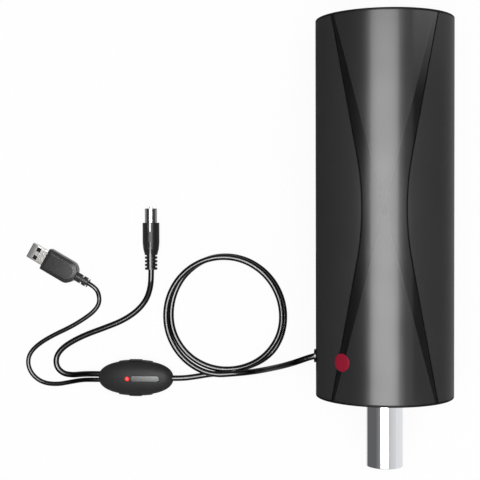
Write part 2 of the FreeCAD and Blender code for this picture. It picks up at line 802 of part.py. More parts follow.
def make_flank_rib(name, proud, reach, upward):
    """A slab with the pod's plan, a little wider, kept only along the middle of the flanks."""
    body = new_body(name)
    sketch = sketch_on(body, "XY_Plane")
    draw_lens(sketch, f"(0 - {proud})")
    pad(body, sketch, "pod_rib_height", reverse=not upward)
    sketch = sketch_on(body, "XY_Plane")
    for side in ("-1", "1"):
        draw_rectangle(sketch, f"{side} * {reach}", "-2 * pod_half_width",
                       f"{side} * 2 * pod_half_length", "2 * pod_half_width")
    pocket(body, sketch, midplane=True)
    return body


def cord_bore(name, x, y, radius):
    """A bore along the pod for one of its leads."""
    bore = doc.addObject("Part::Cylinder", name)
    turned = FreeCAD.Rotation(FreeCAD.Vector(0, 1, 0), 90)
    bore.Placement = FreeCAD.Placement(FreeCAD.Vector(), turned)
    bind(bore, Radius=radius, Height="pod_half_length")
    for axis, formula in zip("xyz", (x, y, "0")):
        bore.setExpression("Placement.Base." + axis, bound(formula))
    return bore


def make_pod_shell(name, upward):
    outer = make_pebble(name + "_outside", "0", upward)
    ribs = [
        make_flank_rib(name + "_rib", "pod_rib", "pod_rib_reach", upward),
        make_flank_rib(name + "_short_rib", "(2 * pod_rib)", "pod_rib_short", upward)]
    ribbed = doc.addObject("Part::MultiFuse", name + "_ribbed")
    ribbed.Shapes = [outer] + ribs
    doc.recompute()
    inner = make_pebble(name + "_inside", "pod_wall", upward)
    shell = boolean("Part::Cut", name + "_case", ribbed, inner)
    bores = [
        cord_bore(name + "_bore_in", "0", "0", "antenna_cord_radius + fit_gap"),
        cord_bore(name + "_bore_tv", "-pod_half_length", "pod_cord_gap", "tv_lead_radius + fit_gap"),
        cord_bore(name + "_bore_power", "-pod_half_length", "-pod_cord_gap", "power_lead_radius + fit_gap")]
    cutters = doc.addObject("Part::MultiFuse", name + "_bores")
    cutters.Shapes = bores
    doc.recompute()
    return boolean("Part::Cut", name + "_bored", shell, cutters)


def make_pod_upper_shell():
    shell = make_pod_shell("pod_upper", True)
    window = new_body("pod_window_cut")
    sketch = sketch_on(window, "XY_Plane", "pod_half_height - lens_thickness")
    draw_slot(sketch, "lens_shift", "(lens_length / 2)", "(lens_width / 2)")
    pad(window, sketch, "2 * lens_thickness")
    opened = boolean("Part::Cut", "pod_upper_opened", shell, window)
    lamp = doc.addObject("Part::Cylinder", "pod_lamp_cut")
    bind(lamp, Radius="led_radius + fit_gap", Height="2 * pod_half_height")
    lamp.setExpression("Placement.Base.x", bound("led_shift"))
    drilled = boolean("Part::Cut", "pod_upper_shell", opened, lamp)
    on_pod(drilled)
    return drilled


def draw_slot(sketch, x, half_length, half_width):
    """A long hole with round ends along the sketch's x."""
    left, right = f"{x} - {half_length} + {half_width}", f"{x} + {half_length} - {half_width}"
    top, low = half_width, f"-1 * {half_width}"
    cap = FreeCAD.Vector(number(half_width), 0, 0)
    first = sketch.GeometryCount
    sketch.addGeometry(Part.LineSegment(spot(right, top), spot(left, top)))
    sketch.addGeometry(Part.Arc(spot(left, top), spot(left, "0") - cap, spot(left, low)))
    sketch.addGeometry(Part.LineSegment(spot(left, low), spot(right, low)))
    sketch.addGeometry(Part.Arc(spot(right, low), spot(right, "0") + cap, spot(right, top)))
    for i in range(4):
        sketch.addConstraint(Sketcher.Constraint("Coincident", first + i, 2, first + (i + 1) % 4, 1))
    pin_point(sketch, first, 1, right, top)
    pin_point(sketch, first, 2, left, top)
    pin_point(sketch, first + 2, 1, left, low)
    pin_point(sketch, first + 2, 2, right, low)
    for arc, formula in ((first + 1, left), (first + 3, right)):
        index = sketch.addConstraint(Sketcher.Constraint("DistanceX", -1, 1, arc, 3, number(formula)))
        sketch.setExpression(f"Constraints[{index}]", bound(formula))


def make_pod_lower_shell():
    shell = make_pod_shell("pod_lower", False)
    posts = new_body("pod_posts")
    sketch = sketch_on(posts, "XY_Plane", "pod_wall / 2 - pod_half_height")
    for side in ("-1", "1"):
        draw_circle(sketch, f"{side} * pod_board_length / 3", "0", "pod_post_radius")
    pad(posts, sketch, "pod_wall / 2 + pod_post_height")
    joined = boolean("Part::Fuse", "pod_lower_shell", shell, posts)
    on_pod(joined)
    return joined


def make_pod_lens():
    body = new_body("pod_lens")
    sketch = sketch_on(body, "XY_Plane", "pod_half_height - lens_thickness")
    draw_slot(sketch, "lens_shift", "(lens_length / 2 - fit_gap)", "(lens_width / 2 - fit_gap)")
    pad(body, sketch, "lens_thickness")
    on_pod(body)
    return body


POD_FLOOR = "(pod_wall - pod_half_height + pod_post_height)"


def make_pod_board():
    body = new_body("pod_board")
    sketch = sketch_on(body, "XY_Plane", POD_FLOOR)
    draw_rectangle(sketch, "-pod_board_length / 2", "-pod_board_width / 2",
                   "pod_board_length / 2", "pod_board_width / 2")
    pad(body, sketch, "pod_board_thickness")
    on_pod(body)
    return body


def make_pod_choke():
    body = new_body("pod_choke")
    sketch = sketch_on(body, "XY_Plane", POD_FLOOR + " + pod_board_thickness")
    draw_circle(sketch, "pod_board_length / 4", "0", "choke_radius")
    pad(body, sketch, "choke_height")
    on_pod(body)
    return body


def make_pod_led():
    """Lamp with a domed end: a turned profile that stands on the board and fills its hole."""
    body = new_body("pod_led")
    sketch = sketch_on(body, "XY_Plane", POD_FLOOR + " + pod_board_thickness")
    draw_circle(sketch, "led_shift", "0", "led_radius")
    pad(body, sketch, "2 * pod_half_height - pod_wall - pod_post_height - pod_board_thickness + led_proud")
    top = max(edge.BoundBox.ZMax for edge in body.Shape.Edges)
    round_edges(body, "led_round", lambda edge: edge.BoundBox.ZMin > top - 0.01)
    on_pod(body)
    return body


# Power plug: folded metal shell, tongue and contacts, in a moulded grip with a boot

def make_power_plug_shell():
    body = new_body("power_plug_shell")
    sketch = sketch_on(body, "YZ_Plane", "-plug_shell_seat")
    draw_rectangle(sketch, "-plug_shell_width / 2", "-plug_shell_height / 2",
                   "plug_shell_width / 2", "plug_shell_height / 2")
    half_y = "(plug_shell_width / 2 - plug_shell_wall)"
    half_z = "(plug_shell_height / 2 - plug_shell_wall)"
    draw_rectangle(sketch, "-1 * " + half_y, "-1 * " + half_z, half_y, half_z)
    pad(body, sketch, "plug_shell_seat + plug_shell_reach")
    sketch = sketch_on(body, "XY_Plane")
    for side in ("-1", "1"):
        center = f"{side} * plug_hole_spacing / 2"
        far = "(plug_shell_reach - plug_hole_setback)"
        draw_rectangle(sketch, far + " - plug_hole_side", center + " - plug_hole_side / 2",
                       far, center + " + plug_hole_side / 2")
    pocket(body, sketch, midplane=True)
    on_power_plug(body)
    return body


TONGUE_LOW = "(plug_shell_height / 2 - plug_shell_wall - fit_gap - tongue_height)"


def make_power_plug_tongue():
    body = new_body("power_plug_tongue")
    sketch = sketch_on(body, "YZ_Plane", "-plug_shell_seat")
    half = "(plug_shell_width / 2 - plug_shell_wall - fit_gap)"
    draw_rectangle(sketch, "-1 * " + half, TONGUE_LOW, half, TONGUE_LOW + " + tongue_height")
    pad(body, sketch, "plug_shell_seat + plug_shell_reach - tongue_setback")
    on_power_plug(body)
    return body


def make_power_plug_contacts():
    body = new_body("power_plug_contacts")
    for step in ("-1.5", "-0.5", "0.5", "1.5"):
        sketch = sketch_on(body, "YZ_Plane", "-plug_shell_seat")
        center = f"{step} * contact_pitch"
        low = TONGUE_LOW + " - contact_thickness"
        draw_rectangle(sketch, center + " - contact_width / 2", low,
                       center + " + contact_width / 2", low + " + contact_thickness")
        pad(body, sketch, "plug_shell_seat + plug_shell_reach - 2 * tongue_setback")
    on_power_plug(body)
    return body


def make_power_plug_body():
    body = new_body("power_plug_body")
    sketch = sketch_on(body, "XY_Plane", "-grip_height / 2")
    half = "grip_width / 2"
    draw_polygon(sketch, [
        ("0", "-" + half), ("0", half), ("grip_corner - grip_length", half),
        ("-grip_length", half + " - grip_corner"), ("-grip_length", "grip_corner - " + half),
        ("grip_corner - grip_length", "-" + half)])
    pad(body, sketch, "grip_height")
    flat = number("grip_height") / 2
    dress_edges(body, "Chamfer", lambda edge: abs(abs(edge.BoundBox.Center.z) - flat) < 0.01,
                Size="grip_bevel")
    sketch = sketch_on(body, "XY_Plane", "grip_height / 2")
    inner = "(grip_width / 2 - panel_inset)"
    draw_polygon(sketch, [
        ("-panel_inset", "-1 * " + inner), ("-panel_inset", inner), ("grip_corner - grip_length", inner),
        ("panel_inset - grip_length", inner + " - grip_corner + panel_inset"),
        ("panel_inset - grip_length", "grip_corner - panel_inset - " + inner),
        ("grip_corner - grip_length", "-1 * " + inner)])
    pad(body, sketch, "panel_height")
    top = flat + number("panel_height")
    dress_edges(body, "Chamfer", lambda edge: abs(edge.BoundBox.Center.z - top) < 0.01, Size="panel_bevel")
    sketch = sketch_on(body, "YZ_Plane", "-grip_length - plug_boot_length")
    draw_circle(sketch, "0", "0", "plug_boot_radius")
    pad(body, sketch, "plug_boot_length + grip_bevel")
    sketch = sketch_on(body, "XY_Plane", "0")
    for part in ("1", "2"):
        near = f"(-grip_length - {part} * boot_slot_pitch)"
        for side in ("-1", "1"):
            draw_rectangle(sketch, near + " - boot_slot", f"{side} * (power_lead_radius + fit_gap)",
                           near, f"{side} * (plug_boot_radius + grip_bevel)")
    pocket(body, sketch, midplane=True)
    sketch = sketch_on(body, "YZ_Plane")
    draw_rectangle(sketch, "-plug_shell_width / 2 - fit_gap", "-plug_shell_height / 2 - fit_gap",
                   "plug_shell_width / 2 + fit_gap", "plug_shell_height / 2 + fit_gap")
    pocket(body, sketch, "plug_shell_seat + fit_gap")
    on_power_plug(body)
    return body


# Aerial plug: metal barrel with its pin in an insulator, in a moulded grip with a ribbed boot

def turned_ring(name, inner, outer, low, high):
    """A plain tube or rod about the plug's axis, between two heights."""
    body = new_body(name)
    sketch = sketch_on(body, "XY_Plane", low)
    draw_circle(sketch, "0", "0", outer)
    if inner:
        draw_circle(sketch, "0", "0", inner)
    pad(body, sketch, f"({high}) - ({low})")
    on_aerial_plug(body)
    return body


def make_aerial_plug_barrel():
    """A thin metal barrel, a little slimmer where it seats in the grip."""
    body = new_body("aerial_plug_barrel")
    sketch = sketch_on(body, "XZ_Plane")
    bore = "(barrel_radius - barrel_wall)"
    draw_polygon(sketch, [
        (bore, "-barrel_seat"), ("barrel_seat_radius", "-barrel_seat"), ("barrel_seat_radius", "0"),
        ("barrel_radius", "0"), ("barrel_radius", "barrel_reach"), (bore, "barrel_reach")])
    revolve(body, sketch, "Z_Axis")
    on_aerial_plug(body)
    return body


def make_aerial_plug_body():
    body = new_body("aerial_plug_body")
    sketch = sketch_on(body, "XZ_Plane")
    slim = "aerial_boot_radius"
    boot_top = "-aerial_length"
    boot_end = "(-aerial_length - aerial_boot_length)"
    bore = "(barrel_seat_radius + fit_gap)"
    draw_polygon(sketch, [
        ("0", "-barrel_seat - fit_gap"), (bore, "-barrel_seat - fit_gap"), (bore, "0"),
        ("aerial_radius", "0"), ("aerial_radius", "-aerial_straight"),
        ("aerial_shoulder_radius", "-aerial_shoulder"), (slim, boot_top), (slim, boot_end), ("0", boot_end)])
    revolve(body, sketch, "Z_Axis")
    sketch = sketch_on(body, "XY_Plane", "0")
    draw_rectangle(sketch, "-aerial_slot_width / 2", "-2 * aerial_radius", "aerial_slot_width / 2", "0")
    pocket(body, sketch, "aerial_slot_length")
    sketch = sketch_on(body, "XY_Plane", "-aerial_groove_start")
    draw_rectangle(sketch, "-aerial_slot_width / 2", "-2 * aerial_radius", "aerial_slot_width / 2",
                   "-tv_lead_radius")
    pocket(body, sketch, "aerial_length + aerial_boot_length - aerial_groove_start")
    for step in ("1", "2", "3", "4"):
        sketch = sketch_on(body, "XY_Plane", f"{boot_end} + {step} * aerial_rib_pitch - aerial_rib_slot")
        draw_circle(sketch, "0", "0", "2 * aerial_radius")
        draw_circle(sketch, "0", "0", "aerial_boot_radius - aerial_rib_depth")
        pocket(body, sketch, "aerial_rib_slot", reverse=True)
    on_aerial_plug(body)
    return body


# Leads: round tubes along straight runs joined by tangent arcs

ARC_SHARE = 0.45  # how much of its shorter run each arc takes up

LEAD_ROUTE = [
    (-46.4, -76.75, 46.5), (-51.0, -76.75, 46.5), (-60.0, -80.6, 45.0), (-68.8, -84.7, 38.0),
    (-77.0, -87.8, 27.5), (-85.0, -90.8, 16.5), (-94.5, -93.5, 8.9), (-105.0, -95.55, 6.4)]
TAIL_ROUTE = [
    (-114.0, -96.45, 2.2), (-127.0, -97.35, 2.1), (-138.0, -99.15, 4.2), (-147.5, -100.05, 7.5),
    (-154.9, -100.05, 7.5)]
TV_ROUTE = [
    (-209.2, -97.85, 7.5), (-216.0, -97.85, 7.5), (-223.8, -98.55, 4.6), (-231.6, -99.75, 2.2),
    (-238.7, -98.95, 2.15), (-243.9, -94.55, 2.15), (-244.9, -87.75, 2.15), (-241.5, -81.35, 2.15),
    (-234.0, -75.55, 2.15), (-222.0, -69.55, 2.15), (-207.0, -64.05, 2.15), (-193.5, -58.75, 2.15),
    (-182.6, -51.75, 2.15), (-175.2, -43.35, 2.6), (-171.7, -34.75, 4.4), (-170.4, -26.75, 6.2),
    (-170.4, -20.25, 6.2)]
POWER_ROUTE = [
    (-209.2, -102.25, 7.5), (-216.0, -102.25, 7.5), (-224.0, -103.05, 4.2), (-233.0, -104.95, 1.8),
    (-244.0, -107.15, 1.7), (-255.0, -106.15, 1.7), (-263.2, -100.55, 1.7), (-267.0, -92.35, 1.7),
    (-265.4, -83.95, 1.7), (-258.2, -76.75, 1.7), (-246.6, -69.95, 1.7), (-233.8, -64.05, 1.7),
    (-223.8, -58.15, 1.7), (-215.4, -52.15, 1.7), (-210.9, -45.85, 1.8), (-211.0, -39.05, 2.7),
    (-213.4, -33.75, 4.3), (-218.52, -30.83, 4.3)]

# The lead inside the head, from the gland up past the mast's socket to the amplifier's shield
CLIMB = f"(inner_lead_inset - {BORE_RADIUS})"
LEAD_IN = "(board_bottom + lead_in_height)"
INNER_ROUTE = [
    ("fit_gap - housing_radius", "0", "gland_height"),
    ("fit_gap - housing_radius + 3.7 * antenna_cord_radius", "0", "gland_height"),
    (CLIMB + " - 0.8 * antenna_cord_radius",
     "-0.4 * antenna_cord_radius", "gland_height + 2.2 * antenna_cord_radius"),
    (CLIMB, "-1 * antenna_cord_radius", "gland_height + 5.8 * antenna_cord_radius"),
    (CLIMB + " - 0.2 * antenna_cord_radius",
     "-1.6 * antenna_cord_radius", "gland_height + 10.5 * antenna_cord_radius"),
    (CLIMB + " - 0.6 * antenna_cord_radius",
     "-2 * antenna_cord_radius", LEAD_IN + " - 11.5 * antenna_cord_radius"),
    (CLIMB + " - 0.3 * antenna_cord_radius",
     "-2.2 * antenna_cord_radius", LEAD_IN + " - 6.2 * antenna_cord_radius"),
    (CLIMB + " + 1.1 * antenna_cord_radius",
     "-2.2 * antenna_cord_radius", LEAD_IN + " - 2.4 * antenna_cord_radius"),
    ("-shield_width / 2 - 3.1 * antenna_cord_radius",
     "-2.2 * antenna_cord_radius", LEAD_IN),
    ("-shield_width / 2 - fit_gap", "-2.2 * antenna_cord_radius", LEAD_IN)]


def lead_path(name, route):
    """Straight runs joined by arcs, each arc as large as its shorter run allows."""
    points = [FreeCAD.Vector(*p) for p in route]
    edges = []
    radii = []
    start = points[0]
    for before, corner, after in zip(points, points[1:], points[2:]):
        back = (before - corner).normalize()
        ahead = (after - corner).normalize()
        half_turn = (math.pi - back.getAngle(ahead)) / 2
        setback = ARC_SHARE * min((before - corner).Length, (after - corner).Length)
        radius = setback / math.tan(half_turn)
        radii.append(round(radius, 1))
        enter = corner + back * setback
        leave = corner + ahead * setback
        inward = (back + ahead).normalize()
        middle = corner + inward * (radius / math.cos(half_turn) - radius)
        edges.append(Part.LineSegment(start, enter).toShape())
        edges.append(Part.Arc(enter, middle, leave).toShape())
        start = leave
    edges.append(Part.LineSegment(start, points[-1]).toShape())
    print(name, "bend radii", radii)
    return Part.Wire(edges)


def make_lead(name, route, radius):
    """A solid tube along the route, its volume held against section times length."""
    wire = lead_path(name, route)
    heading = FreeCAD.Vector(*route[1]) - FreeCAD.Vector(*route[0])
    size = number(radius)
    ring = Part.Wire(Part.Circle(FreeCAD.Vector(*route[0]), heading, size).toShape())
    tube = wire.makePipeShell([ring], True, False)
    expected = math.pi * size ** 2 * wire.Length
    print(name, "length", round(wire.Length, 1), "volume share", round(tube.Volume / expected, 4))
    lead = doc.addObject("Part::Feature", name)
    lead.Label = name
    lead.Shape = tube
    return lead


def make_coil():
    """The outer shape of the two loose turns: a ring that is wider at the bottom."""
    body = new_body("antenna_cord_coil")
    sketch = sketch_on(body, "XY_Plane")
    draw_circle(sketch, "0", "0", "coil_outer_radius")
    draw_circle(sketch, "0", "coil_inner_shift", "coil_outer_radius - coil_band")
    pad(body, sketch, "coil_height")
    round_edges(body, "coil_round", lambda edge: edge.BoundBox.ZLength < 0.01)
    place(body, (COIL_PLACE[0], COIL_PLACE[1], "0"))
    return body


for maker in (make_core_shell, make_left_cheek):
    keep(maker())
right_cheek = make_cheek("right_cheek", 1)
on_head(right_cheek)
keep(right_cheek)
for facing, front in (("front", True), ("back", False)):
    for hand, side in (("left", -1), ("right", 1)):
        keep(make_inlay(f"{facing}_{hand}_inlay", side, front))
for maker in (make_top_cap, make_bottom_cap, make_cap_screws, make_mast_tube, make_mast_pin,
              make_cable_hatch, make_cord_gland, make_badge, make_element_board, make_uhf_elements,
              make_vhf_loop, make_balun_core, make_amplifier_shield, make_amplifier_chip,
              make_pod_upper_shell, make_pod_lower_shell, make_pod_lens, make_pod_led, make_pod_board,
              make_pod_choke, make_power_plug_shell, make_power_plug_tongue, make_power_plug_contacts,
              make_power_plug_body):
    keep(maker())
keep(make_aerial_plug_barrel())
keep(turned_ring("aerial_plug_insulator", "aerial_pin_radius + fit_gap",
                 "barrel_radius - barrel_wall - fit_gap", "-barrel_seat", "0"))
keep(turned_ring("aerial_plug_pin", None, "aerial_pin_radius", "-barrel_seat",
                 "barrel_reach + aerial_pin_proud"))
keep(make_aerial_plug_body())
coil = keep(make_coil())
for name, route, radius in (("antenna_cord_lead", LEAD_ROUTE, "antenna_cord_radius"),
                            ("antenna_cord_tail", TAIL_ROUTE, "antenna_cord_radius")):
    tube = make_lead(name + "_tube", route, radius)
    keep(boolean("Part::Cut", name, tube, coil))
keep(make_lead("tv_lead", TV_ROUTE, "tv_lead_radius"))
keep(make_lead("power_lead", POWER_ROUTE, "power_lead_radius"))
inner_route = [tuple(number(formula) for formula in point) for point in INNER_ROUTE]
inner_lead = keep(make_lead("inner_lead", inner_route, "antenna_cord_radius"))
on_head(inner_lead)
doc.recompute()

for obj in doc.Objects:
    if "Invalid" in obj.State or "Error" in obj.State:
        raise RuntimeError(f"{obj.Label} failed: {obj.State}")
for piece in pieces:
    if piece.Shape.isNull() or not piece.Shape.isValid() or not piece.Shape.Solids:
        raise RuntimeError(f"{piece.Label} is not a sound solid")
os.makedirs("parts", exist_ok=True)
for piece in pieces:
    piece.Shape.exportStep(f"parts/{piece.Label}.step")
    print(piece.Label, len(piece.Shape.Solids), "solids", round(piece.Shape.Volume, 1), "mm3")
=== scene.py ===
# %% [markdown]
# # Dressing an amplified TV antenna
#
# The object is a cylindrical aerial with a short chromed mast. Its cord runs through a loose coil to a small
# power pod, and from there to an aerial plug and a power plug. The measured model comes with every piece in
# its place, in metres, so nothing is fitted here. This lesson sets up the camera and the light, gives every
# piece its finish, lays the cords as smooth curves, and remakes in finer mesh the pieces the eye rests on.

# %% Load the measured model
import json
import math

import bmesh
import bpy
from mathutils import Matrix, Vector


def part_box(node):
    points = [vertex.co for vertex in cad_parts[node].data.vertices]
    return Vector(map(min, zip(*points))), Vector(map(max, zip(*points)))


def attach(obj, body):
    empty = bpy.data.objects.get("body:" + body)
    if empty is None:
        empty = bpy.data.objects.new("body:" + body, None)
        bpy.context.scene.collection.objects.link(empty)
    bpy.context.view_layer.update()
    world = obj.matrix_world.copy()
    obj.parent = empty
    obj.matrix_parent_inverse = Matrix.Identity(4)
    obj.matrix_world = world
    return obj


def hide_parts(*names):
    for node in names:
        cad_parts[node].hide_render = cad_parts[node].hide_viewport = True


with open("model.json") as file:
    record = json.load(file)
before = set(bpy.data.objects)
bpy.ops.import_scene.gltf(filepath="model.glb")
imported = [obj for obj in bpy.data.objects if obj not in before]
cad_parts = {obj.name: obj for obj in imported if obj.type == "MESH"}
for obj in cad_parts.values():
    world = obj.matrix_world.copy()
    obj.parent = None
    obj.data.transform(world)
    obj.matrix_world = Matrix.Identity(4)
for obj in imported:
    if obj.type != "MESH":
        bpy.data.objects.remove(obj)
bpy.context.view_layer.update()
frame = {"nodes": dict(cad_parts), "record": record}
nodes = frame["nodes"]
scene = bpy.context.scene
scene.view_settings.view_transform = "Standard"
MM = 0.001

# %% [markdown]
# ## Camera
#
# The camera stands above the antenna with a long lens, turned a little towards the cord, so the cylinder's
# round ends bulge outwards and its sides stay parallel. The lens follows from its length in pixels: two
# points a metre apart, a metre ahead, land that many pixels apart.

# %% Camera above the antenna
FRAME_PIXELS = 480
FOCAL_PIXELS = 1071.0
SENSOR_WIDTH = 36.0
CAMERA_PLACE = Vector((0.0, 20.15, 779.0)) * MM
# degrees about X, Y and Z, from looking straight down
CAMERA_TILT = (-1.39, 7.68, -0.19)

camera_data = bpy.data.cameras.new("camera")
camera_data.sensor_width = SENSOR_WIDTH
camera_data.lens = SENSOR_WIDTH * FOCAL_PIXELS / FRAME_PIXELS
camera = bpy.data.objects.new("camera", camera_data)
camera.location = CAMERA_PLACE
camera.rotation_euler = [math.radians(angle) for angle in CAMERA_TILT]
scene.collection.objects.link(camera)
scene.camera = camera
print("lens in mm:", round(camera_data.lens, 1))

# %% [markdown]
# ## Helpers for colours and nodes
#
# Colours are written as sRGB hex, the way a picker shows them, and one function turns them to the linear
# values that a shader adds up. The next one adds a node: plain values go on its sockets, and a socket of
# another node is linked. The last one starts a material, with the values that are the same all over it set
# on the shader's own sockets.

# %% Colour and node helpers
def linear(hex_colour):
    """An sRGB hex value as linear red, green, blue and full alpha."""
    channels = [int(hex_colour[i:i + 2], 16) / 255 for i in (1, 3, 5)]
    return [c / 12.92 if c <= 0.04045 else ((c + 0.055) / 1.055) ** 2.4 for c in channels] + [1.0]


def add(tree, kind, inputs=None, **settings):
    """Add a node, set its properties, and set or link its inputs."""
    node = tree.nodes.new(kind)
    for name, value in settings.items():
        setattr(node, name, value)
    for name, value in (inputs or {}).items():
        if isinstance(value, bpy.types.NodeSocket):
            tree.links.new(value, node.inputs[name])
        else:
            node.inputs[name].default_value = value
    return node


def new_finish(name, **constants):
    """A material whose Principled shader has these constant values, with its node tree and shader."""
    material = bpy.data.materials.new(name)
    material.use_nodes = True
    tree = material.node_tree
    tree.nodes.clear()
    inputs = {key.replace("_", " "): value for key, value in constants.items()}
    shader = add(tree, "ShaderNodeBsdfPrincipled", inputs)
    add(tree, "ShaderNodeOutputMaterial", {"Surface": shader.outputs["BSDF"]}, name="Surface")
    return material, tree, shader


print("mid grey in linear light:", [round(c, 3) for c in linear("#808080")])

# %% [markdown]
# ## Table and backdrop
#
# The object lies on white paper that ends at a white wall far behind. A real backdrop is lit until it shows
# as pure white. Here a share of glow does that, for what the camera sees and for what gloss and glass mirror.
# The rest of the paper is plain and matt, which keeps a soft shadow of the object and throws some light back
# under it.

# %% White paper and the wall round it
PAPER_GLOW = 0.93
WALL_GLOW = 1.0
PAPER_RADIUS = 6.0
PAPER_SIDES = 96
WALL_HEIGHT = 1.4


def white_paper(name, glow_share):
    """Uncoated white paper: matt, and brightened for the eye and for mirrors."""
    material, tree, shader = new_finish(name, Base_Color=linear("#e6e6e6"), Roughness=0.9)
    shader.inputs["Specular IOR Level"].default_value = 0.0
    path = add(tree, "ShaderNodeLightPath")
    seen = path.outputs["Is Camera Ray"]
    for ray in ("Is Glossy Ray", "Is Transmission Ray"):
        seen = add(tree, "ShaderNodeMath", {0: seen, 1: path.outputs[ray]}, operation="MAXIMUM").outputs[0]
    share = add(tree, "ShaderNodeMath", {0: seen, 1: glow_share}, operation="MULTIPLY").outputs[0]
    glow = add(tree, "ShaderNodeEmission", {"Color": linear("#ffffff"), "Strength": 1.0})
    mixed = add(tree, "ShaderNodeMixShader", {0: share, 1: shader.outputs["BSDF"], 2: glow.outputs[0]})
    tree.links.new(mixed.outputs[0], tree.nodes["Surface"].inputs["Surface"])
    return material


bpy.ops.mesh.primitive_circle_add(vertices=PAPER_SIDES, radius=PAPER_RADIUS, fill_type="NGON")
paper = bpy.context.object
paper.name = "paper"
paper.data.materials.append(white_paper("matt_paper", PAPER_GLOW))
bpy.ops.mesh.primitive_cylinder_add(
    vertices=PAPER_SIDES, radius=PAPER_RADIUS, depth=WALL_HEIGHT, end_fill_type="NOTHING",
    location=(0, 0, WALL_HEIGHT / 2))
wall = bpy.context.object
wall.name = "wall"
wall.data.materials.append(white_paper("wall_paper", WALL_GLOW))
print("paper reaches", PAPER_RADIUS, "m out, to a wall", WALL_HEIGHT, "m high")

# %% [markdown]
# ## Dark cards
#
# Shiny things on white paper lose their edges, because they mirror the paper. Product photographers stand
# dark cards just beside them. These cards glow with a tone of their own and are seen in gloss alone, so what
# the antenna mirrors in them is painted reflection. One stands along the left side of the antenna, where the
# mast and the black crescents show it as a painted dark reflection. The other stands higher on the right, for
# the crescents alone. Towards its far end it glows brighter, which paints the weak streak near the top of the
# housing. Neither throws a shadow, and both stay out of every picture.

# %% Cards beside the antenna
# sizes in millimetres; heights are of the lower and the upper edge
# each tone is the card's own glow, which the antenna mirrors as a painted reflection
LEFT_CARD = {"place": -62.0, "ends": (-175.0, 160.0), "heights": (0.0, 100.0), "tone": "#6c6c6c"}
RIGHT_CARD = {"place": 62.0, "ends": (-110.0, 180.0), "heights": (60.0, 130.0), "tone": "#808080",
              "streak_glow_start": 100.0}
# how many times brighter the right card glows at its far end, which paints the streak
STREAK_GLOW_GAIN = 11.0


def stand_card(name, place, ends, heights, tone, streak_glow_start=None):
    """A glowing card that only gloss sees, so it paints a reflection; a bright far end paints a streak."""
    data = bpy.data.meshes.new(name)
    corners = [(place, ends[i], heights[k]) for i, k in ((0, 0), (1, 0), (1, 1), (0, 1))]
    data.from_pydata([Vector(corner) * MM for corner in corners], [], [(0, 1, 2, 3)])
    material, tree, shader = new_finish(
        name, Base_Color=linear("#000000"), Roughness=1.0, Emission_Color=linear(tone), Emission_Strength=1.0)
    shader.inputs["Specular IOR Level"].default_value = 0.0
    if streak_glow_start is not None:
        spot = add(tree, "ShaderNodeTexCoord").outputs["Object"]
        along = add(tree, "ShaderNodeSeparateXYZ", {"Vector": spot}).outputs["Y"]
        # the glow rises towards the far end and paints a streak in the gloss
        streak_glow = add(tree, "ShaderNodeMapRange", {
            "Value": along, "From Min": streak_glow_start * MM, "From Max": ends[1] * MM, "To Min": 1.0,
            "To Max": STREAK_GLOW_GAIN})
        tree.links.new(streak_glow.outputs[0], shader.inputs["Emission Strength"])
    data.materials.append(material)
    card = bpy.data.objects.new(name, data)
    card.visible_camera = False
    card.visible_diffuse = False
    card.visible_transmission = False
    card.visible_shadow = False
    scene.collection.objects.link(card)
    print(name, "in mm:", place, ends, heights)


stand_card("left_card", **LEFT_CARD)
stand_card("right_card", **RIGHT_CARD)

# %% [markdown]
# ## Light
#
# One wide softbox hangs over the table, and its mirror image is the bright band along the cylinder. A
# photographer lights gloss and colour apart, and so does this cell: a second lamp in the same place reaches
# gloss only, which lifts the band without bleaching any colour. A strip low on the right lifts that side a
# little, and the room is darker on the left than on the right, as the mast's reflections show.

# %% Softbox, strip and room
def area_light(name, place, aim, size, radiance, diffuse=True):
    """A rectangular lamp that faces the aim point, with its light spread over its area."""
    data = bpy.data.lights.new(name, "AREA")
    data.shape = "RECTANGLE"
    data.size, data.size_y = size
    data.energy = radiance * math.pi * size[0] * size[1]
    lamp = bpy.data.objects.new(name, data)
    lamp.location = place
    lamp.rotation_euler = (Vector(aim) - Vector(place)).to_track_quat("-Z", "Y").to_euler()
    lamp.visible_diffuse = diffuse
    scene.collection.objects.link(lamp)


# places and sizes in metres
SOFTBOX = {"place": (0.0, -0.05, 1.2), "aim": (0.0, -0.05, 0.0), "size": (0.95, 0.9)}
SIDE_STRIP = {"place": (1.2, 0.28, 0.3), "aim": (0.0, 0.1, 0.07), "size": (0.45, 0.3)}
SOFTBOX_RADIANCE = 4.4
SHEEN_RADIANCE = 60.0
STRIP_RADIANCE = 2.0
area_light("softbox", radiance=SOFTBOX_RADIANCE, **SOFTBOX)
area_light("softbox_sheen", radiance=SHEEN_RADIANCE, diffuse=False, **SOFTBOX)
area_light("side_strip", radiance=STRIP_RADIANCE, **SIDE_STRIP)

DARK_SIDE = 0.08
LIGHT_SIDE = 0.9
world = bpy.data.worlds.new("room")
scene.world = world
world.use_nodes = True
room = world.node_tree
room.nodes.clear()
direction = add(room, "ShaderNodeTexCoord").outputs["Generated"]
sideways = add(room, "ShaderNodeSeparateXYZ", {"Vector": direction}).outputs["X"]
level = add(room, "ShaderNodeMapRange", {
    "Value": sideways, "From Min": -1.0, "From Max": 1.0, "To Min": DARK_SIDE, "To Max": LIGHT_SIDE})
light = add(room, "ShaderNodeBackground", {"Color": linear("#ffffff"), "Strength": level.outputs[0]})
add(room, "ShaderNodeOutputWorld", {"Surface": light.outputs[0]})

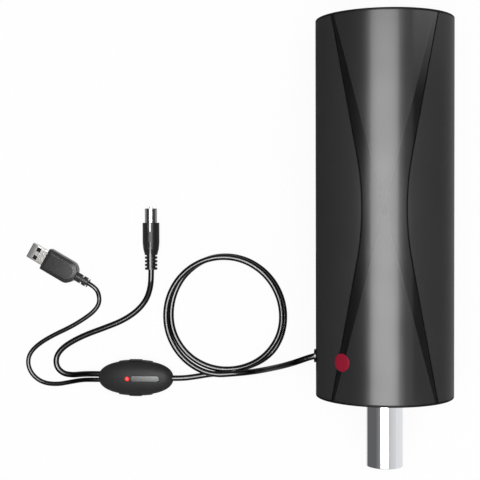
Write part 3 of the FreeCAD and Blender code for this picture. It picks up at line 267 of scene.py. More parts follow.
# %% [markdown]
# ## Moulded plastics
#
# Most of the object is moulded plastic, and the steel mould decides its gloss: a polished mould gives a clear
# mirror, a blasted one a broad soft band, a spark-eroded one a dull black. The colour could be one flat
# value, but a real moulding is a little uneven, so gloss and colour drift slowly over a few centimetres, and
# a bump carries the grain of the mould. The grain is drawn coarser than the real few hundredths of a
# millimetre, because that would be too fine to show. The specular levels below are lower than usual, because
# the lamp that reaches gloss only is strong.

# %% Finish of a moulded plastic
DRIFT_SIZE = 30.0
COLOUR_DRIFT = 0.06
GLOSS_DRIFT = 0.03


def moulded(name, colour, roughness, grain, grain_depth, **constants):
    """A moulded plastic; grain and its depth are in millimetres."""
    material, tree, shader = new_finish(name, **constants)
    place = add(tree, "ShaderNodeTexCoord").outputs["Object"]
    drift = add(tree, "ShaderNodeTexNoise", {"Vector": place, "Scale": 1 / (DRIFT_SIZE * MM), "Detail": 2.0})
    gloss = add(tree, "ShaderNodeMapRange", {
        "Value": drift.outputs["Fac"], "To Min": roughness - GLOSS_DRIFT, "To Max": roughness + GLOSS_DRIFT})
    tint = add(tree, "ShaderNodeMapRange", {
        "Value": drift.outputs["Fac"], "To Min": 1 - COLOUR_DRIFT, "To Max": 1 + COLOUR_DRIFT})
    shade = add(tree, "ShaderNodeVectorMath", {
        0: linear(colour)[:3], "Scale": tint.outputs[0]}, operation="SCALE")
    pits = add(tree, "ShaderNodeTexNoise", {"Vector": place, "Scale": 1 / (grain * MM), "Detail": 1.0})
    bump = add(tree, "ShaderNodeBump", {"Height": pits.outputs["Fac"], "Distance": grain_depth * MM})
    tree.links.new(shade.outputs[0], shader.inputs["Base Color"])
    tree.links.new(gloss.outputs[0], shader.inputs["Roughness"])
    tree.links.new(bump.outputs[0], shader.inputs["Normal"])
    return material


# %% [markdown]
# ## Gloss of a thin cord
#
# A cord is a thin cylinder, so its flanks mirror the white paper beside it and turn grey. On the real jacket
# only a thin line along the top is bright. A rougher surface would lose that line too. So Layer Weight, which
# tells how far the surface turns from the eye, keeps the gloss full along the line and dulls it beside it.

# %% Dull the flanks of a cord
FACING_START = 0.03
FACING_END = 0.14


def dull_flanks(material, clear, dulled):
    """Gloss at its clear level where the surface faces the eye, and dulled on its flanks."""
    tree = material.node_tree
    shader = tree.nodes["Principled BSDF"]
    turned = add(tree, "ShaderNodeLayerWeight", {"Blend": 0.5}).outputs["Facing"]
    gloss = add(tree, "ShaderNodeMapRange", {
        "Value": turned, "From Min": FACING_START, "From Max": FACING_END, "To Min": clear, "To Max": dulled})
    tree.links.new(gloss.outputs[0], shader.inputs["Specular IOR Level"])


# %% [markdown]
# ## Plastics of this object
#
# Each finish is named for what the material is and how its surface was made, and its comment says what that
# gives the eye. A row of a table is one finish, so they can be compared down a column. The keys are the
# material slots of the record, and two more, for pieces that share a slot and look different.

# %% Plastics of the head
PLASTIC_COLUMNS = ("name", "colour", "roughness", "grain", "grain_depth", "IOR", "Specular_IOR_Level")
finishes = {}


def mould_all(table):
    """Make the finish in every row and keep it under its key."""
    for key, row in table.items():
        finishes[key] = moulded(**dict(zip(PLASTIC_COLUMNS, row)))


mould_all({
    # ABS from a blasted mould: charcoal with a broad satin band
    "housing_plastic": ("satin_abs", "#282829", 0.16, 0.8, 0.001, 1.54, 0.31),
    # The same ABS with a soft-touch lacquer: it takes a faint streak and no mirror
    "cheek_plastic": ("lacquered_abs", "#2e2e2f", 0.42, 0.6, 0.003, 1.5, 0.04),
    # ABS from a polished mould: near black, with a clear band, and dark where a card is mirrored
    "inlay_plastic": ("gloss_abs", "#070708", 0.16, 1.2, 0.001, 1.54, 0.39),
    # ABS from a spark-eroded mould: dull black, so that the caps read as dark lines
    "cap_plastic": ("eroded_abs", "#0e0e0f", 0.55, 0.6, 0.006, 1.5, 0.03),
    # Red enamel, poured and baked: one clear crimson with a soft shine
    "badge_red": ("baked_enamel", "#86162c", 0.3, 1.5, 0.001, 1.5, 0.08)})
print("head:", list(finishes))

# %% Plastics of the pod, the cords and the plugs
CLEAR_GLOSS = 1.0
FLANK_GLOSS = 0.08
mould_all({
    # ABS from a fine blasted mould: dark grey with little shine
    "pod_plastic": ("blasted_abs", "#2a2a2b", 0.4, 0.7, 0.003, 1.5, 0.02),
    # Soft PVC drawn through a polished die: black with a thin bright line along it
    "cord_jacket": ("drawn_pvc", "#030303", 0.07, 1.5, 0.0005, 1.54, 0.5),
    # PVC moulded over the aerial plug's wire: black and slightly waxy
    "plug_rubber": ("overmoulded_pvc", "#232323", 0.3, 0.6, 0.002, 1.52, 0.05),
    # The harder grade round the power plug: dark grey, with light on its bevels
    "grip_pvc": ("hard_pvc", "#303030", 0.18, 0.6, 0.001, 1.52, 0.12)})
dull_flanks(finishes["cord_jacket"], CLEAR_GLOSS, FLANK_GLOSS)
print("with pod, cords and plugs:", len(finishes), "finishes")

# %% Nylon, epoxy and ferrite
mould_all({
    # Natural nylon: milky and matt
    "white_plastic": ("natural_nylon", "#dcdcd8", 0.45, 0.8, 0.003, 1.53, 0.1),
    # Nylon coloured near black and matt, as painted shade that makes the plug's windows look dark
    "tongue_plastic": ("shade_black_nylon", "#040404", 0.55, 0.8, 0.003, 1.53, 0.02),
    # Epoxy with silica filler, pressed round a chip: charcoal and quite matt
    "chip": ("filled_epoxy", "#1b1b1c", 0.6, 0.5, 0.01, 1.55, 0.2),
    # Ferrite, pressed and fired: grey and stony
    "ferrite": ("fired_ferrite", "#3a3a3c", 0.7, 0.5, 0.02, 1.6, 0.2),
    # Glass cloth in epoxy under green solder mask: glossy, and uneven from the cloth beneath
    "board": ("masked_glass_epoxy", "#1d5a35", 0.35, 1.0, 0.01, 1.55, 0.2)})
print("with nylon, epoxy and ferrite:", len(finishes), "finishes")

# %% [markdown]
# ## Lamp and light bar
#
# The pod's lamp is lit, so its red glows by itself. The bar beside it is a strip of smoked acrylic. It could
# be clear glass over a dark floor, but under a window this flat only the dark floor shows, so a dark polished
# surface that mirrors the softbox at its right end does the same with less noise.

# %% Lamp and acrylic
# Red epoxy, cast round the lamp's chip: it glows and has a small shine
finishes["lamp_red"] = moulded(
    "lit_red_epoxy", "#d01818", roughness=0.25, grain=1.5, grain_depth=0.001,
    IOR=1.53, Specular_IOR_Level=0.1, Emission_Color=linear("#ff2d24"), Emission_Strength=0.75)
# Smoked acrylic, polished: dark, with a grey sheen that grows to the right
finishes["lens"] = moulded(
    "smoked_acrylic", "#2a2b2d", roughness=0.24, grain=1.5, grain_depth=0.0005,
    IOR=1.49, Specular_IOR_Level=0.23)
print("with lamp and bar:", len(finishes), "finishes")

# %% [markdown]
# ## Plated metals
#
# Chrome, nickel, zinc, tin and gold sit on the metal as thin plating, and what tells them apart is colour and
# gloss. Drawing and rolling leave faint marks that run along the piece, so there the noise that varies the
# gloss is stretched in one direction. On the other pieces it is even.

# %% Finish of a plated metal
MARK_CONTRAST = 0.15


def plated(name, colour, roughness, mark_size, stretch):
    """A plated metal whose gloss varies along drawn marks; mark_size is in millimetres."""
    material, tree, shader = new_finish(name, Base_Color=linear(colour), Metallic=1.0)
    place = add(tree, "ShaderNodeTexCoord").outputs["Object"]
    drawn = add(tree, "ShaderNodeVectorMath", {0: place, 1: stretch}, operation="MULTIPLY").outputs[0]
    marks = add(tree, "ShaderNodeTexNoise", {"Vector": drawn, "Scale": 1 / (mark_size * MM), "Detail": 3.0})
    gloss = add(tree, "ShaderNodeMapRange", {
        "Value": marks.outputs["Fac"], "To Min": roughness * (1 - MARK_CONTRAST),
        "To Max": roughness * (1 + MARK_CONTRAST)})
    tree.links.new(gloss.outputs[0], shader.inputs["Roughness"])
    return material


# %% Metals of this object
ALONG_Y = (1.0, 0.08, 1.0)
EVEN = (1.0, 1.0, 1.0)
METAL_COLUMNS = ("name", "colour", "roughness", "mark_size", "stretch")
METALS = {
    # Chrome over nickel on drawn steel tube: a near mirror, with draw marks along the tube
    "chrome": ("chromed_tube", "#dcdde0", 0.06, 2.0, ALONG_Y),
    # Barrel-plated nickel: a warm white metal, brighter than steel and softer than chrome
    "nickel": ("plated_nickel", "#d0cfcc", 0.11, 3.0, EVEN),
    # The same nickel in a darker colour, as painted shade: dark beside the bright line along the aerial plug
    "shaded_nickel": ("painted_shade_nickel", "#7c7c7e", 0.14, 3.0, EVEN),
    # Zinc plating on screws: grey with a satin shine
    "steel": ("zinc_plated_steel", "#b4b6b8", 0.38, 2.0, EVEN),
    # Tinned sheet, rolled: soft grey
    "tinplate": ("rolled_tinplate", "#c4c5c6", 0.3, 4.0, ALONG_Y),
    # Etched copper foil, lightly tinned by the solder bath: a pale copper with a soft shine
    "copper": ("etched_copper", "#d9976f", 0.3, 3.0, EVEN),
    # A flash of gold over nickel on the contacts: yellow and half bright
    "contact_gold": ("gold_flash", "#e0bb62", 0.25, 2.0, EVEN)}
for key, row in METALS.items():
    finishes[key] = plated(**dict(zip(METAL_COLUMNS, row)))
print("with the metals:", len(finishes), "finishes")

# %% [markdown]
# ## A finish for every piece
#
# The record names a material slot for every piece, and a finish above has the same name. Three pieces look
# unlike others of their slot: the cheeks are lacquered, and the aerial plug's barrel is darkened as painted
# shade.

# %% Give every measured piece its finish
slot_of = {part["node"]: part["material_slot"] for part in frame["record"]["subparts"]}
# the aerial plug's barrel takes the nickel in a darker colour, as painted shade
finish_of = dict(slot_of, left_cheek="cheek_plastic", right_cheek="cheek_plastic",
                 aerial_plug_barrel="shaded_nickel")
for name, node in nodes.items():
    node.data.materials.clear()
    node.data.materials.append(finishes[finish_of[name]])
print("finishes:", len(finishes), "on", len(nodes), "pieces")

# %% [markdown]
# ## Cords
#
# Each cord is one smooth curve with a round section. Its control points are the route that the model was
# measured along. The coil is two loose turns, worked out in a loop from their size and height at the bottom,
# left, top and right: the first turn lies over the second at the top and outside it on the left.

# %% Lay one cord
CORD_STEPS = 12
CORD_RINGS = 6


def lay_cord(name, route, radius, slot, replaced):
    """A smooth curve drawn by the route's control points, in place of the measured tubes."""
    data = bpy.data.curves.new(name, "CURVE")
    data.dimensions = "3D"
    data.resolution_u = CORD_STEPS
    data.bevel_depth = radius * MM
    data.bevel_resolution = CORD_RINGS
    data.use_fill_caps = True
    spline = data.splines.new("NURBS")
    spline.points.add(len(route) - 1)
    for point, place in zip(spline.points, route):
        point.co = (place[0] * MM, place[1] * MM, place[2] * MM, 1.0)
    spline.order_u = 3
    spline.use_endpoint_u = True
    data.materials.append(finishes[slot])
    cord = bpy.data.objects.new(name, data)
    scene.collection.objects.link(cord)
    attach(cord, "root")
    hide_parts(*replaced)
    print(name, "control points:", len(route))
    return cord


# %% Antenna cord with its coil
ANTENNA_CORD_RADIUS = 2.1
LEAD_ROUTE = [
    (-46.4, -76.75, 46.5), (-51.0, -78.0, 46.3), (-60.0, -81.5, 44.8), (-68.8, -85.0, 38.0),
    (-77.0, -88.3, 27.5), (-85.0, -91.4, 16.5), (-94.5, -94.1, 8.9), (-105.0, -95.8, 6.4)]
TAIL_ROUTE = [
    (-114.0, -96.45, 2.2), (-127.0, -97.35, 2.1), (-138.0, -99.15, 4.2), (-147.5, -100.05, 7.5),
    (-154.9, -100.05, 7.5)]
COIL_CENTRE = (-116.0, -54.75)
POINTS_PER_TURN = 12
# degrees, counted down from the bottom of the first turn
BOTTOM = -90.0
QUARTER_TURN = 90.0
FIRST_POINT = -105.0
LAST_POINT = -765.0
# radius and height of the cord's middle at each quarter turn, from the first bottom on
COIL_STATIONS = [
    (42.9, 6.3), (43.9, 4.4), (43.8, 6.3), (42.2, 6.0),
    (38.7, 2.1), (40.4, 2.1), (44.5, 2.1), (43.7, 2.1), (42.2, 2.1)]
# the curve runs inside its control points by this factor
SPLINE_SHRINK = 0.966


def coil_point(angle):
    """A control point of the coil at this angle in degrees."""
    quarter = (BOTTOM - angle) / QUARTER_TURN
    index = min(int(quarter), len(COIL_STATIONS) - 2)
    share = (1 - math.cos(math.pi * (quarter - index))) / 2
    (r0, z0), (r1, z1) = COIL_STATIONS[index], COIL_STATIONS[index + 1]
    radius = (r0 + (r1 - r0) * share) / SPLINE_SHRINK
    turn = math.radians(angle)
    x, y = COIL_CENTRE
    return (x + radius * math.cos(turn), y + radius * math.sin(turn), z0 + (z1 - z0) * share)


step = 4 * QUARTER_TURN / POINTS_PER_TURN
coil_count = int(round((FIRST_POINT - LAST_POINT) / step)) + 1
coil_route = [coil_point(FIRST_POINT - step * k) for k in range(coil_count)]
antenna_cord = lay_cord("antenna_cord", LEAD_ROUTE + coil_route + TAIL_ROUTE, ANTENNA_CORD_RADIUS,
                        "cord_jacket", ["antenna_cord_lead", "antenna_cord_coil", "antenna_cord_tail"])

# %% Leads from the pod to the two plugs
TV_LEAD_RADIUS = 2.15
TV_ROUTE = [
    (-209.2, -97.85, 7.5), (-216.0, -97.85, 7.5), (-223.8, -98.55, 4.6), (-231.6, -99.75, 2.2),
    (-238.7, -98.95, 2.15), (-243.9, -94.55, 2.15), (-244.9, -87.75, 2.15), (-241.5, -81.35, 2.15),
    (-234.0, -75.55, 2.15), (-222.0, -69.55, 2.15), (-207.0, -64.05, 2.15), (-193.5, -58.75, 2.15),
    (-182.6, -51.75, 2.15), (-175.2, -43.35, 2.6), (-171.7, -34.75, 4.4), (-170.4, -26.75, 6.2),
    (-170.4, -20.25, 6.2)]
POWER_LEAD_RADIUS = 1.7
POWER_ROUTE = [
    (-209.2, -102.25, 7.5), (-216.0, -102.25, 7.5), (-224.0, -103.05, 4.2), (-233.0, -104.95, 1.8),
    (-244.0, -107.15, 1.7), (-255.0, -106.15, 1.7), (-263.2, -100.55, 1.7), (-267.0, -92.35, 1.7),
    (-265.4, -83.95, 1.7), (-258.2, -76.75, 1.7), (-246.6, -69.95, 1.7), (-233.8, -64.05, 1.7),
    (-223.8, -58.15, 1.7), (-215.4, -52.15, 1.7), (-210.9, -45.85, 1.8), (-211.0, -39.05, 2.7),
    (-213.4, -33.75, 4.3), (-218.52, -30.83, 4.3)]
tv_cord = lay_cord("tv_cord", TV_ROUTE, TV_LEAD_RADIUS, "cord_jacket", ["tv_lead"])
power_cord = lay_cord("power_cord", POWER_ROUTE, POWER_LEAD_RADIUS, "cord_jacket", ["power_lead"])

# %% [markdown]
# ## Helpers for meshes
#
# The pieces below are skinned: a row of sections with equal counts of points, joined by quads, the way a hull
# planked over frames gets its form. Their points are in millimetres and are scaled to metres at the end, when
# the piece is shaded, given its finish and hung on the frame.

# %% Helpers that measure and divide
def box_mm(name):
    """The box round a measured piece in millimetres: its lowest and highest corner."""
    low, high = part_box(name)
    return low / MM, high / MM


def spread(count, first, last):
    """Evenly spaced values from first to last."""
    return [first + (last - first) * k / (count - 1) for k in range(count)]


def full_turn(sides):
    """Angles of that many points, evenly spaced round a circle."""
    return [2 * math.pi * k / sides for k in range(sides)]


print("mast in mm:", [round(x, 1) for corner in box_mm("mast_tube") for x in corner])

# %% Helpers that skin a piece and hang it on the frame
MERGE_DISTANCE = 0.002
SHARP_ANGLE = 35.0


def skin(mesh, sections, closed=True, caps=False):
    """Join sections with quads; a closed section also joins its last point to its first."""
    rows = [[mesh.verts.new(point) for point in section] for section in sections]
    for near, far in zip(rows, rows[1:]):
        count = len(near)
        for k in range(count if closed else count - 1):
            after = (k + 1) % count
            mesh.faces.new((near[k], near[after], far[after], far[k]))
    if caps:
        mesh.faces.new(rows[0])
        mesh.faces.new(rows[-1])
    return rows


def hang(name, mesh, slot, replaced, sharp_angle=SHARP_ANGLE):
    """Make a finished piece of the model from a mesh in millimetres."""
    bmesh.ops.remove_doubles(mesh, verts=mesh.verts, dist=MERGE_DISTANCE)
    bmesh.ops.recalc_face_normals(mesh, faces=mesh.faces)
    bmesh.ops.scale(mesh, vec=(MM, MM, MM), verts=mesh.verts)
    data = bpy.data.meshes.new(name)
    mesh.to_mesh(data)
    mesh.free()
    data.shade_smooth()
    data.set_sharp_from_angle(angle=math.radians(sharp_angle))
    data.materials.append(finishes[slot])
    piece = bpy.data.objects.new(name, data)
    scene.collection.objects.link(piece)
    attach(piece, "root")
    if replaced:
        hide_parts(*replaced)
    print(name, "faces:", len(data.polygons))
    return piece


# %% [markdown]
# ## Bow-tie panels and crescents
#
# The housing's front and back each carry a raised bow-tie, with a black crescent let in on both sides of it.
# The measured pieces have the right outlines, but their long triangles leave streaks in the gloss. So the
# panels are laid again as fine grids on the cylinder, row by row along it, and the crescents' outer edges are
# rounded over.

# %% Outlines of the panels
cap_low, cap_high = box_mm("bottom_cap")
core_low, core_high = box_mm("core_shell")
AXIS_HEIGHT = (cap_low.z + cap_high.z) / 2
HEAD_RADIUS = (cap_high.x - cap_low.x) / 2
HEAD_MIDDLE = (core_low.y + core_high.y) / 2
HEAD_HALF_LENGTH = HEAD_MIDDLE - cap_low.y
CORE_HALF_LENGTH = (core_high.y - core_low.y) / 2
WAIST_HALF_WIDTH = 14.8
END_HALF_WIDTH = 34.9
WAIST_ARC = 185.0
CREASE_HALF_WIDTH = 32.5
CREASE_NECK = 0.2
ARC_CENTRE = WAIST_HALF_WIDTH + WAIST_ARC
to_end = Vector((ARC_CENTRE - END_HALF_WIDTH, HEAD_HALF_LENGTH))
ARC_TURN = math.atan2(to_end.y, to_end.x) - math.acos(WAIST_ARC / to_end.length)


def waisted_edge(y):
    """Half width at the cheeks' edge: a wide arc at the waist that runs into straight lines."""
    away = abs(y - HEAD_MIDDLE)
    touch = WAIST_ARC * math.sin(ARC_TURN)
    if away < touch:
        return ARC_CENTRE - math.sqrt(WAIST_ARC ** 2 - away ** 2)
    return ARC_CENTRE - WAIST_ARC * math.cos(ARC_TURN) + (away - touch) * math.tan(ARC_TURN)


def crease(y):
    """Half width of the bow-tie: straight lines that nearly meet at the waist."""
    return CREASE_NECK + (CREASE_HALF_WIDTH - CREASE_NECK) * abs(y - HEAD_MIDDLE) / CORE_HALF_LENGTH


print("head in mm: radius", round(HEAD_RADIUS, 2), "half length", round(HEAD_HALF_LENGTH, 2))

# %% Lay one panel on the cylinder
PANEL_ROWS = 121
PANEL_DEPTH = 1.7
EDGE_SHOULDER = 0.3
HEAD_SIDES = 96


def lay_panel(mesh, first_edge, last_edge, radius, facing, columns, last_round=0.0):
    """A panel on the cylinder between two edges, turned down at both, its last one rounded by last_round."""
    rows = []
    for y in spread(PANEL_ROWS, core_low.y, core_high.y):
        x0, x1 = first_edge(y), last_edge(y)
        edge = math.copysign(min(last_round, abs(x1 - x0) / 4), x1 - x0)
        across = [(x0, PANEL_DEPTH)] + [(x, 0.0) for x in spread(columns, x0, x1 - 2 * edge)]
        if last_round:
            shoulder = (x1 - EDGE_SHOULDER * edge, EDGE_SHOULDER * abs(edge))
            across += [(x1 - edge, 0.0), shoulder, (x1, abs(edge))]
        across.append((x1, PANEL_DEPTH))
        rows.append([Vector((x, y, AXIS_HEIGHT + facing * math.sqrt((radius - depth) ** 2 - x ** 2)))
                     for x, depth in across])
    skin(mesh, rows, closed=False)


def round_axis(radius, y, sides):
    """A ring of points about the head's axis."""
    return [Vector((radius * math.cos(t), y, AXIS_HEIGHT + radius * math.sin(t))) for t in full_turn(sides)]


# %% Core and its four crescents
CREASE_GAP = 0.01
SEAM_GAP = 0.55
INLAY_SINK = 0.3
INLAY_ROUND = 0.25
CORE_WALL = 2.0
CORE_COLUMNS = 33
INLAY_COLUMNS = 17
mesh = bmesh.new()
for facing in (1, -1):
    lay_panel(mesh, lambda y: -crease(y), crease, HEAD_RADIUS, facing, CORE_COLUMNS)
core_radius = (core_high.x - core_low.x) / 2
tube = [(core_radius, core_low.y), (core_radius, core_high.y), (core_radius - CORE_WALL, core_high.y),
        (core_radius - CORE_WALL, core_low.y), (core_radius, core_low.y)]
skin(mesh, [round_axis(radius, y, HEAD_SIDES) for radius, y in tube])
hang("bow_tie_core", mesh, "housing_plastic", ["core_shell"])
for face_name, facing in (("front", 1), ("back", -1)):
    for side_name, side in (("left", -1), ("right", 1)):
        mesh = bmesh.new()
        lay_panel(mesh, lambda y: side * (crease(y) + CREASE_GAP),
                  lambda y: side * (waisted_edge(y) - SEAM_GAP),
                  HEAD_RADIUS - INLAY_SINK, facing, INLAY_COLUMNS, INLAY_ROUND)
        hang(f"{face_name}_{side_name}_crescent", mesh, "inlay_plastic", [f"{face_name}_{side_name}_inlay"])

# %% [markdown]
# ## Mast
#
# The mast is a length of chromed tube, open at its free end, where the cut has been deburred. A plain
# cylinder would end in a hard dark edge. Turning a profile with a small round on both edges gives the thin
# bright ring that a deburred tube shows.

# %% Turn the mast
mast_low, mast_high = box_mm("mast_tube")
MAST_RADIUS = (mast_high.x - mast_low.x) / 2
MAST_WALL = 1.2
SEAT_STEP = 0.2
DEBURR = 0.35
DEBURR_STEPS = 5
bore = MAST_RADIUS - MAST_WALL
profile = [(MAST_RADIUS - SEAT_STEP, mast_high.y), (MAST_RADIUS - SEAT_STEP, cap_low.y),
           (MAST_RADIUS, cap_low.y), (MAST_RADIUS, mast_low.y + 2 * DEBURR)]
for middle, first in ((MAST_RADIUS - DEBURR, 0.0), (bore + DEBURR, math.pi / 2)):
    for turn in spread(DEBURR_STEPS, first, first + math.pi / 2):
        profile.append((middle + DEBURR * math.cos(turn), mast_low.y + DEBURR * (1 - math.sin(turn))))
profile += [(bore, mast_low.y + 2 * DEBURR), (bore, mast_high.y)]
mesh = bmesh.new()
skin(mesh, [round_axis(radius, y, HEAD_SIDES) for radius, y in profile])
hang("deburred_mast", mesh, "chrome", ["mast_tube"])

# %% [markdown]
# ## Screws of the bottom cap
#
# Four countersunk screws hold the bottom cap. The measured ones are plain pegs. Each head here has a cross
# recess that narrows to its floor, and each is turned by its own angle, as screws end up after driving.

# %% Countersunk heads with a cross recess
screw_low, screw_high = box_mm("cap_screws")
SCREW_RADIUS = 2.8
SCREW_DEPTH = 1.2
HEAD_EDGE = 0.2
RECESS_HALF_WIDTH = 0.42
RECESS_REACH = 1.5
RECESS_DEPTH = 0.8
RECESS_TAPER = 0.6
SCREW_TURNS = (12.0, 55.0, 33.0, 74.0)
SCREW_SIDES = 32


def cross_corners(half_width, reach):
    """The twelve corners of an upright cross, in turn."""
    arm = [(half_width, half_width), (half_width, reach), (-half_width, reach)]
    corners = []
    for quarter in range(4):
        c, s = round(math.cos(quarter * math.pi / 2)), round(math.sin(quarter * math.pi / 2))
        corners += [(x * c - z * s, x * s + z * c) for x, z in arm]
    return corners


def screw_head(mesh, x, z, turn):
    """One head whose face is flush with the cap, facing down the mast."""
    def ring(points, y):
        c, s = math.cos(math.radians(turn)), math.sin(math.radians(turn))
        return [Vector((x + u * c - v * s, y, z + u * s + v * c)) for u, v in points]

    def circle(radius):
        return [(radius * math.cos(t), radius * math.sin(t)) for t in full_turn(SCREW_SIDES)]

    face = screw_low.y
    rim = skin(mesh, [
        ring(circle(SCREW_RADIUS), face + SCREW_DEPTH), ring(circle(SCREW_RADIUS), face + HEAD_EDGE),
        ring(circle(SCREW_RADIUS - HEAD_EDGE), face)])[-1]
    at_mouth = cross_corners(RECESS_HALF_WIDTH, RECESS_REACH)
    at_floor = cross_corners(RECESS_HALF_WIDTH * RECESS_TAPER, RECESS_REACH * RECESS_TAPER)
    mouth, floor = skin(mesh, [ring(at_mouth, face), ring(at_floor, face + RECESS_DEPTH)])
    mesh.faces.new(floor)
    border = [mesh.edges.get((loop[k - 1], loop[k])) for loop in (rim, mouth) for k in range(len(loop))]
    bmesh.ops.triangle_fill(mesh, edges=border, use_beauty=True)


mesh = bmesh.new()
screw_spots = [(x, z) for x in (screw_low.x + SCREW_RADIUS, screw_high.x - SCREW_RADIUS)
               for z in (screw_low.z + SCREW_RADIUS, screw_high.z - SCREW_RADIUS)]
for (x, z), turn in zip(screw_spots, SCREW_TURNS):
    screw_head(mesh, x, z, turn)
hang("cross_screws", mesh, "steel", ["cap_screws"])

# %% [markdown]
# ## Badge
#
# The badge is a red disc, bent to the housing's curve, and left plain. A flat disc would stand off at its
# edges, so the rings of points are laid on the cylinder, and the rim is rounded over like poured enamel.

# %% Bend the disc to the housing
badge_low, badge_high = box_mm("badge")
BADGE_RADIUS = (badge_high.y - badge_low.y) / 2
BADGE_MIDDLE = (badge_high.y + badge_low.y) / 2
BADGE_SHIFT = 27.3
BADGE_SIDES = 64
# share of the radius and height over the housing, from the rim to the middle
BADGE_PROFILE = [(1.0, 0.1), (1.0, 0.45), (0.975, 0.68), (0.92, 0.78), (0.85, 0.8), (0.5, 0.8), (0.2, 0.8)]


def on_housing(u, v, lift, swing):
    """A point beside a line along the housing: u across it, v along it, swung round from the front."""
    radius = math.sqrt((HEAD_RADIUS + lift) ** 2 - u ** 2)
    c, s = math.cos(swing), math.sin(swing)
    return Vector((u * c + radius * s, v, AXIS_HEIGHT - u * s + radius * c))


badge_swing = -math.asin(BADGE_SHIFT / HEAD_RADIUS)
mesh = bmesh.new()
rings = []
for share, lift in BADGE_PROFILE:
    spots = [(share * BADGE_RADIUS * math.cos(t), share * BADGE_RADIUS * math.sin(t))
             for t in full_turn(BADGE_SIDES)]
    rings.append([on_housing(u, BADGE_MIDDLE + v, lift, badge_swing) for u, v in spots])
rows = skin(mesh, rings)
mesh.faces.new(rows[-1])
hang("enamel_badge", mesh, "badge_red", ["badge"])

# %% [markdown]
# ## Power pod
#
# The pod is a case of two shells with an oval outline and finger ribs on its flanks. The measured shells have
# flat faces. The real top is crowned, with a faint crease from nose to nose, so that light slides over it.
# Each shell is skinned from sections across the pod. A section is a superellipse, which is fuller than an
# ellipse and softer than a box, and a hair of room between the shells leaves the parting line.

# %% Shape of the pod
lower_low, lower_high = box_mm("pod_lower_shell")
POD_MIDDLE = (lower_low + lower_high) / 2
PARTING_HEIGHT = lower_high.z
PARTING_GAP = 0.12
POD_HALF_LENGTH = (lower_high.x - lower_low.x) / 2
POD_CROWN = box_mm("pod_upper_shell")[1].z - PARTING_HEIGHT - PARTING_GAP
POD_KEEL = PARTING_HEIGHT - lower_low.z - PARTING_GAP
# how far each rib reaches from the middle, and how far it stands off the flank
POD_RIBS = [(12.4, 0.45), (4.5, 0.9)]
RIB_HEIGHT = 2.0
RIB_ROUND = 0.3
RIB_ROOT = 1.0
POD_HALF_WIDTH = (lower_high.y - lower_low.y) / 2 - POD_RIBS[-1][1]
POD_OUTLINE = 2.3
POD_FULLNESS = 2.5
POD_CREASE = 0.12
POD_CREASE_LIFT = 0.35
POD_CREASE_REACH = 0.6


def bulge(share, fullness):
    """Height of a unit superellipse at this share of its half width."""
    return max(1 - abs(share) ** fullness, 0.0) ** (1 / fullness)


def pod_flank(x):
    """Half the pod's width at x."""
    return POD_HALF_WIDTH * bulge(x / POD_HALF_LENGTH, POD_OUTLINE)


def pod_top(x, share):
    """Height over the parting line at x, for a share of the half width, with the crease on it."""
    tent = POD_CREASE_LIFT * max(0.0, 1 - abs(share - POD_CREASE) / POD_CREASE_REACH)
    section = (POD_CROWN - POD_CREASE_LIFT) * bulge(share, POD_FULLNESS) + tent
    return bulge(x / POD_HALF_LENGTH, POD_FULLNESS) * section


def pod_bottom(x, share):
    """Depth under the parting line at x, for a share of the half width."""
    return -POD_KEEL * bulge(x / POD_HALF_LENGTH, POD_FULLNESS) * bulge(share, POD_FULLNESS)


print("pod in mm: half length", round(POD_HALF_LENGTH, 2), "half width", round(POD_HALF_WIDTH, 2))

# %% Skin both shells and their ribs
POD_SECTIONS = 61
POD_COLUMNS = 31
RIB_SECTIONS = 15
shares = [math.copysign(abs(math.cos(t)) ** (2 / POD_FULLNESS), math.cos(t))
          for t in spread(POD_COLUMNS, 0.0, math.pi)]
shares = sorted(shares + [POD_CREASE])


def pod_shell(name, height, up, replaced):
    """One shell with its ribs: height gives its surface, and up is 1 or -1 from the parting line."""
    mesh = bmesh.new()
    sections = []
    for t in spread(POD_SECTIONS, -math.pi / 2, math.pi / 2):
        x = POD_HALF_LENGTH * math.sin(t)
        sections.append([Vector((x, share * pod_flank(x), height(x, share))) for share in shares])
    skin(mesh, sections, closed=False)
    for reach, proud in POD_RIBS:
        for side in (-1, 1):
            strip = []
            for x in spread(RIB_SECTIONS, -reach, reach):
                root, face = pod_flank(x) - RIB_ROOT, pod_flank(x) + proud
                corners = [(root, 0.0), (face, 0.0), (face, RIB_HEIGHT - RIB_ROUND),
                           (face - RIB_ROUND, RIB_HEIGHT), (root, RIB_HEIGHT)]
                strip.append([Vector((x, side * y, up * z)) for y, z in corners])
            skin(mesh, strip, caps=True)
    place = (POD_MIDDLE.x, POD_MIDDLE.y, PARTING_HEIGHT + up * PARTING_GAP)
    bmesh.ops.translate(mesh, vec=place, verts=mesh.verts)
    return hang(name, mesh, "pod_plastic", [replaced])


crowned_shell = pod_shell("crowned_pod_shell", pod_top, 1, "pod_upper_shell")
rounded_shell = pod_shell("rounded_pod_shell", pod_bottom, -1, "pod_lower_shell")

# %% [markdown]
# ## Light bar
#
# The bar is a strip of acrylic with round ends, set into the crowned top and a little proud of it. It follows
# the same crown as the shell, so its sections take their height from the shell's own formula.

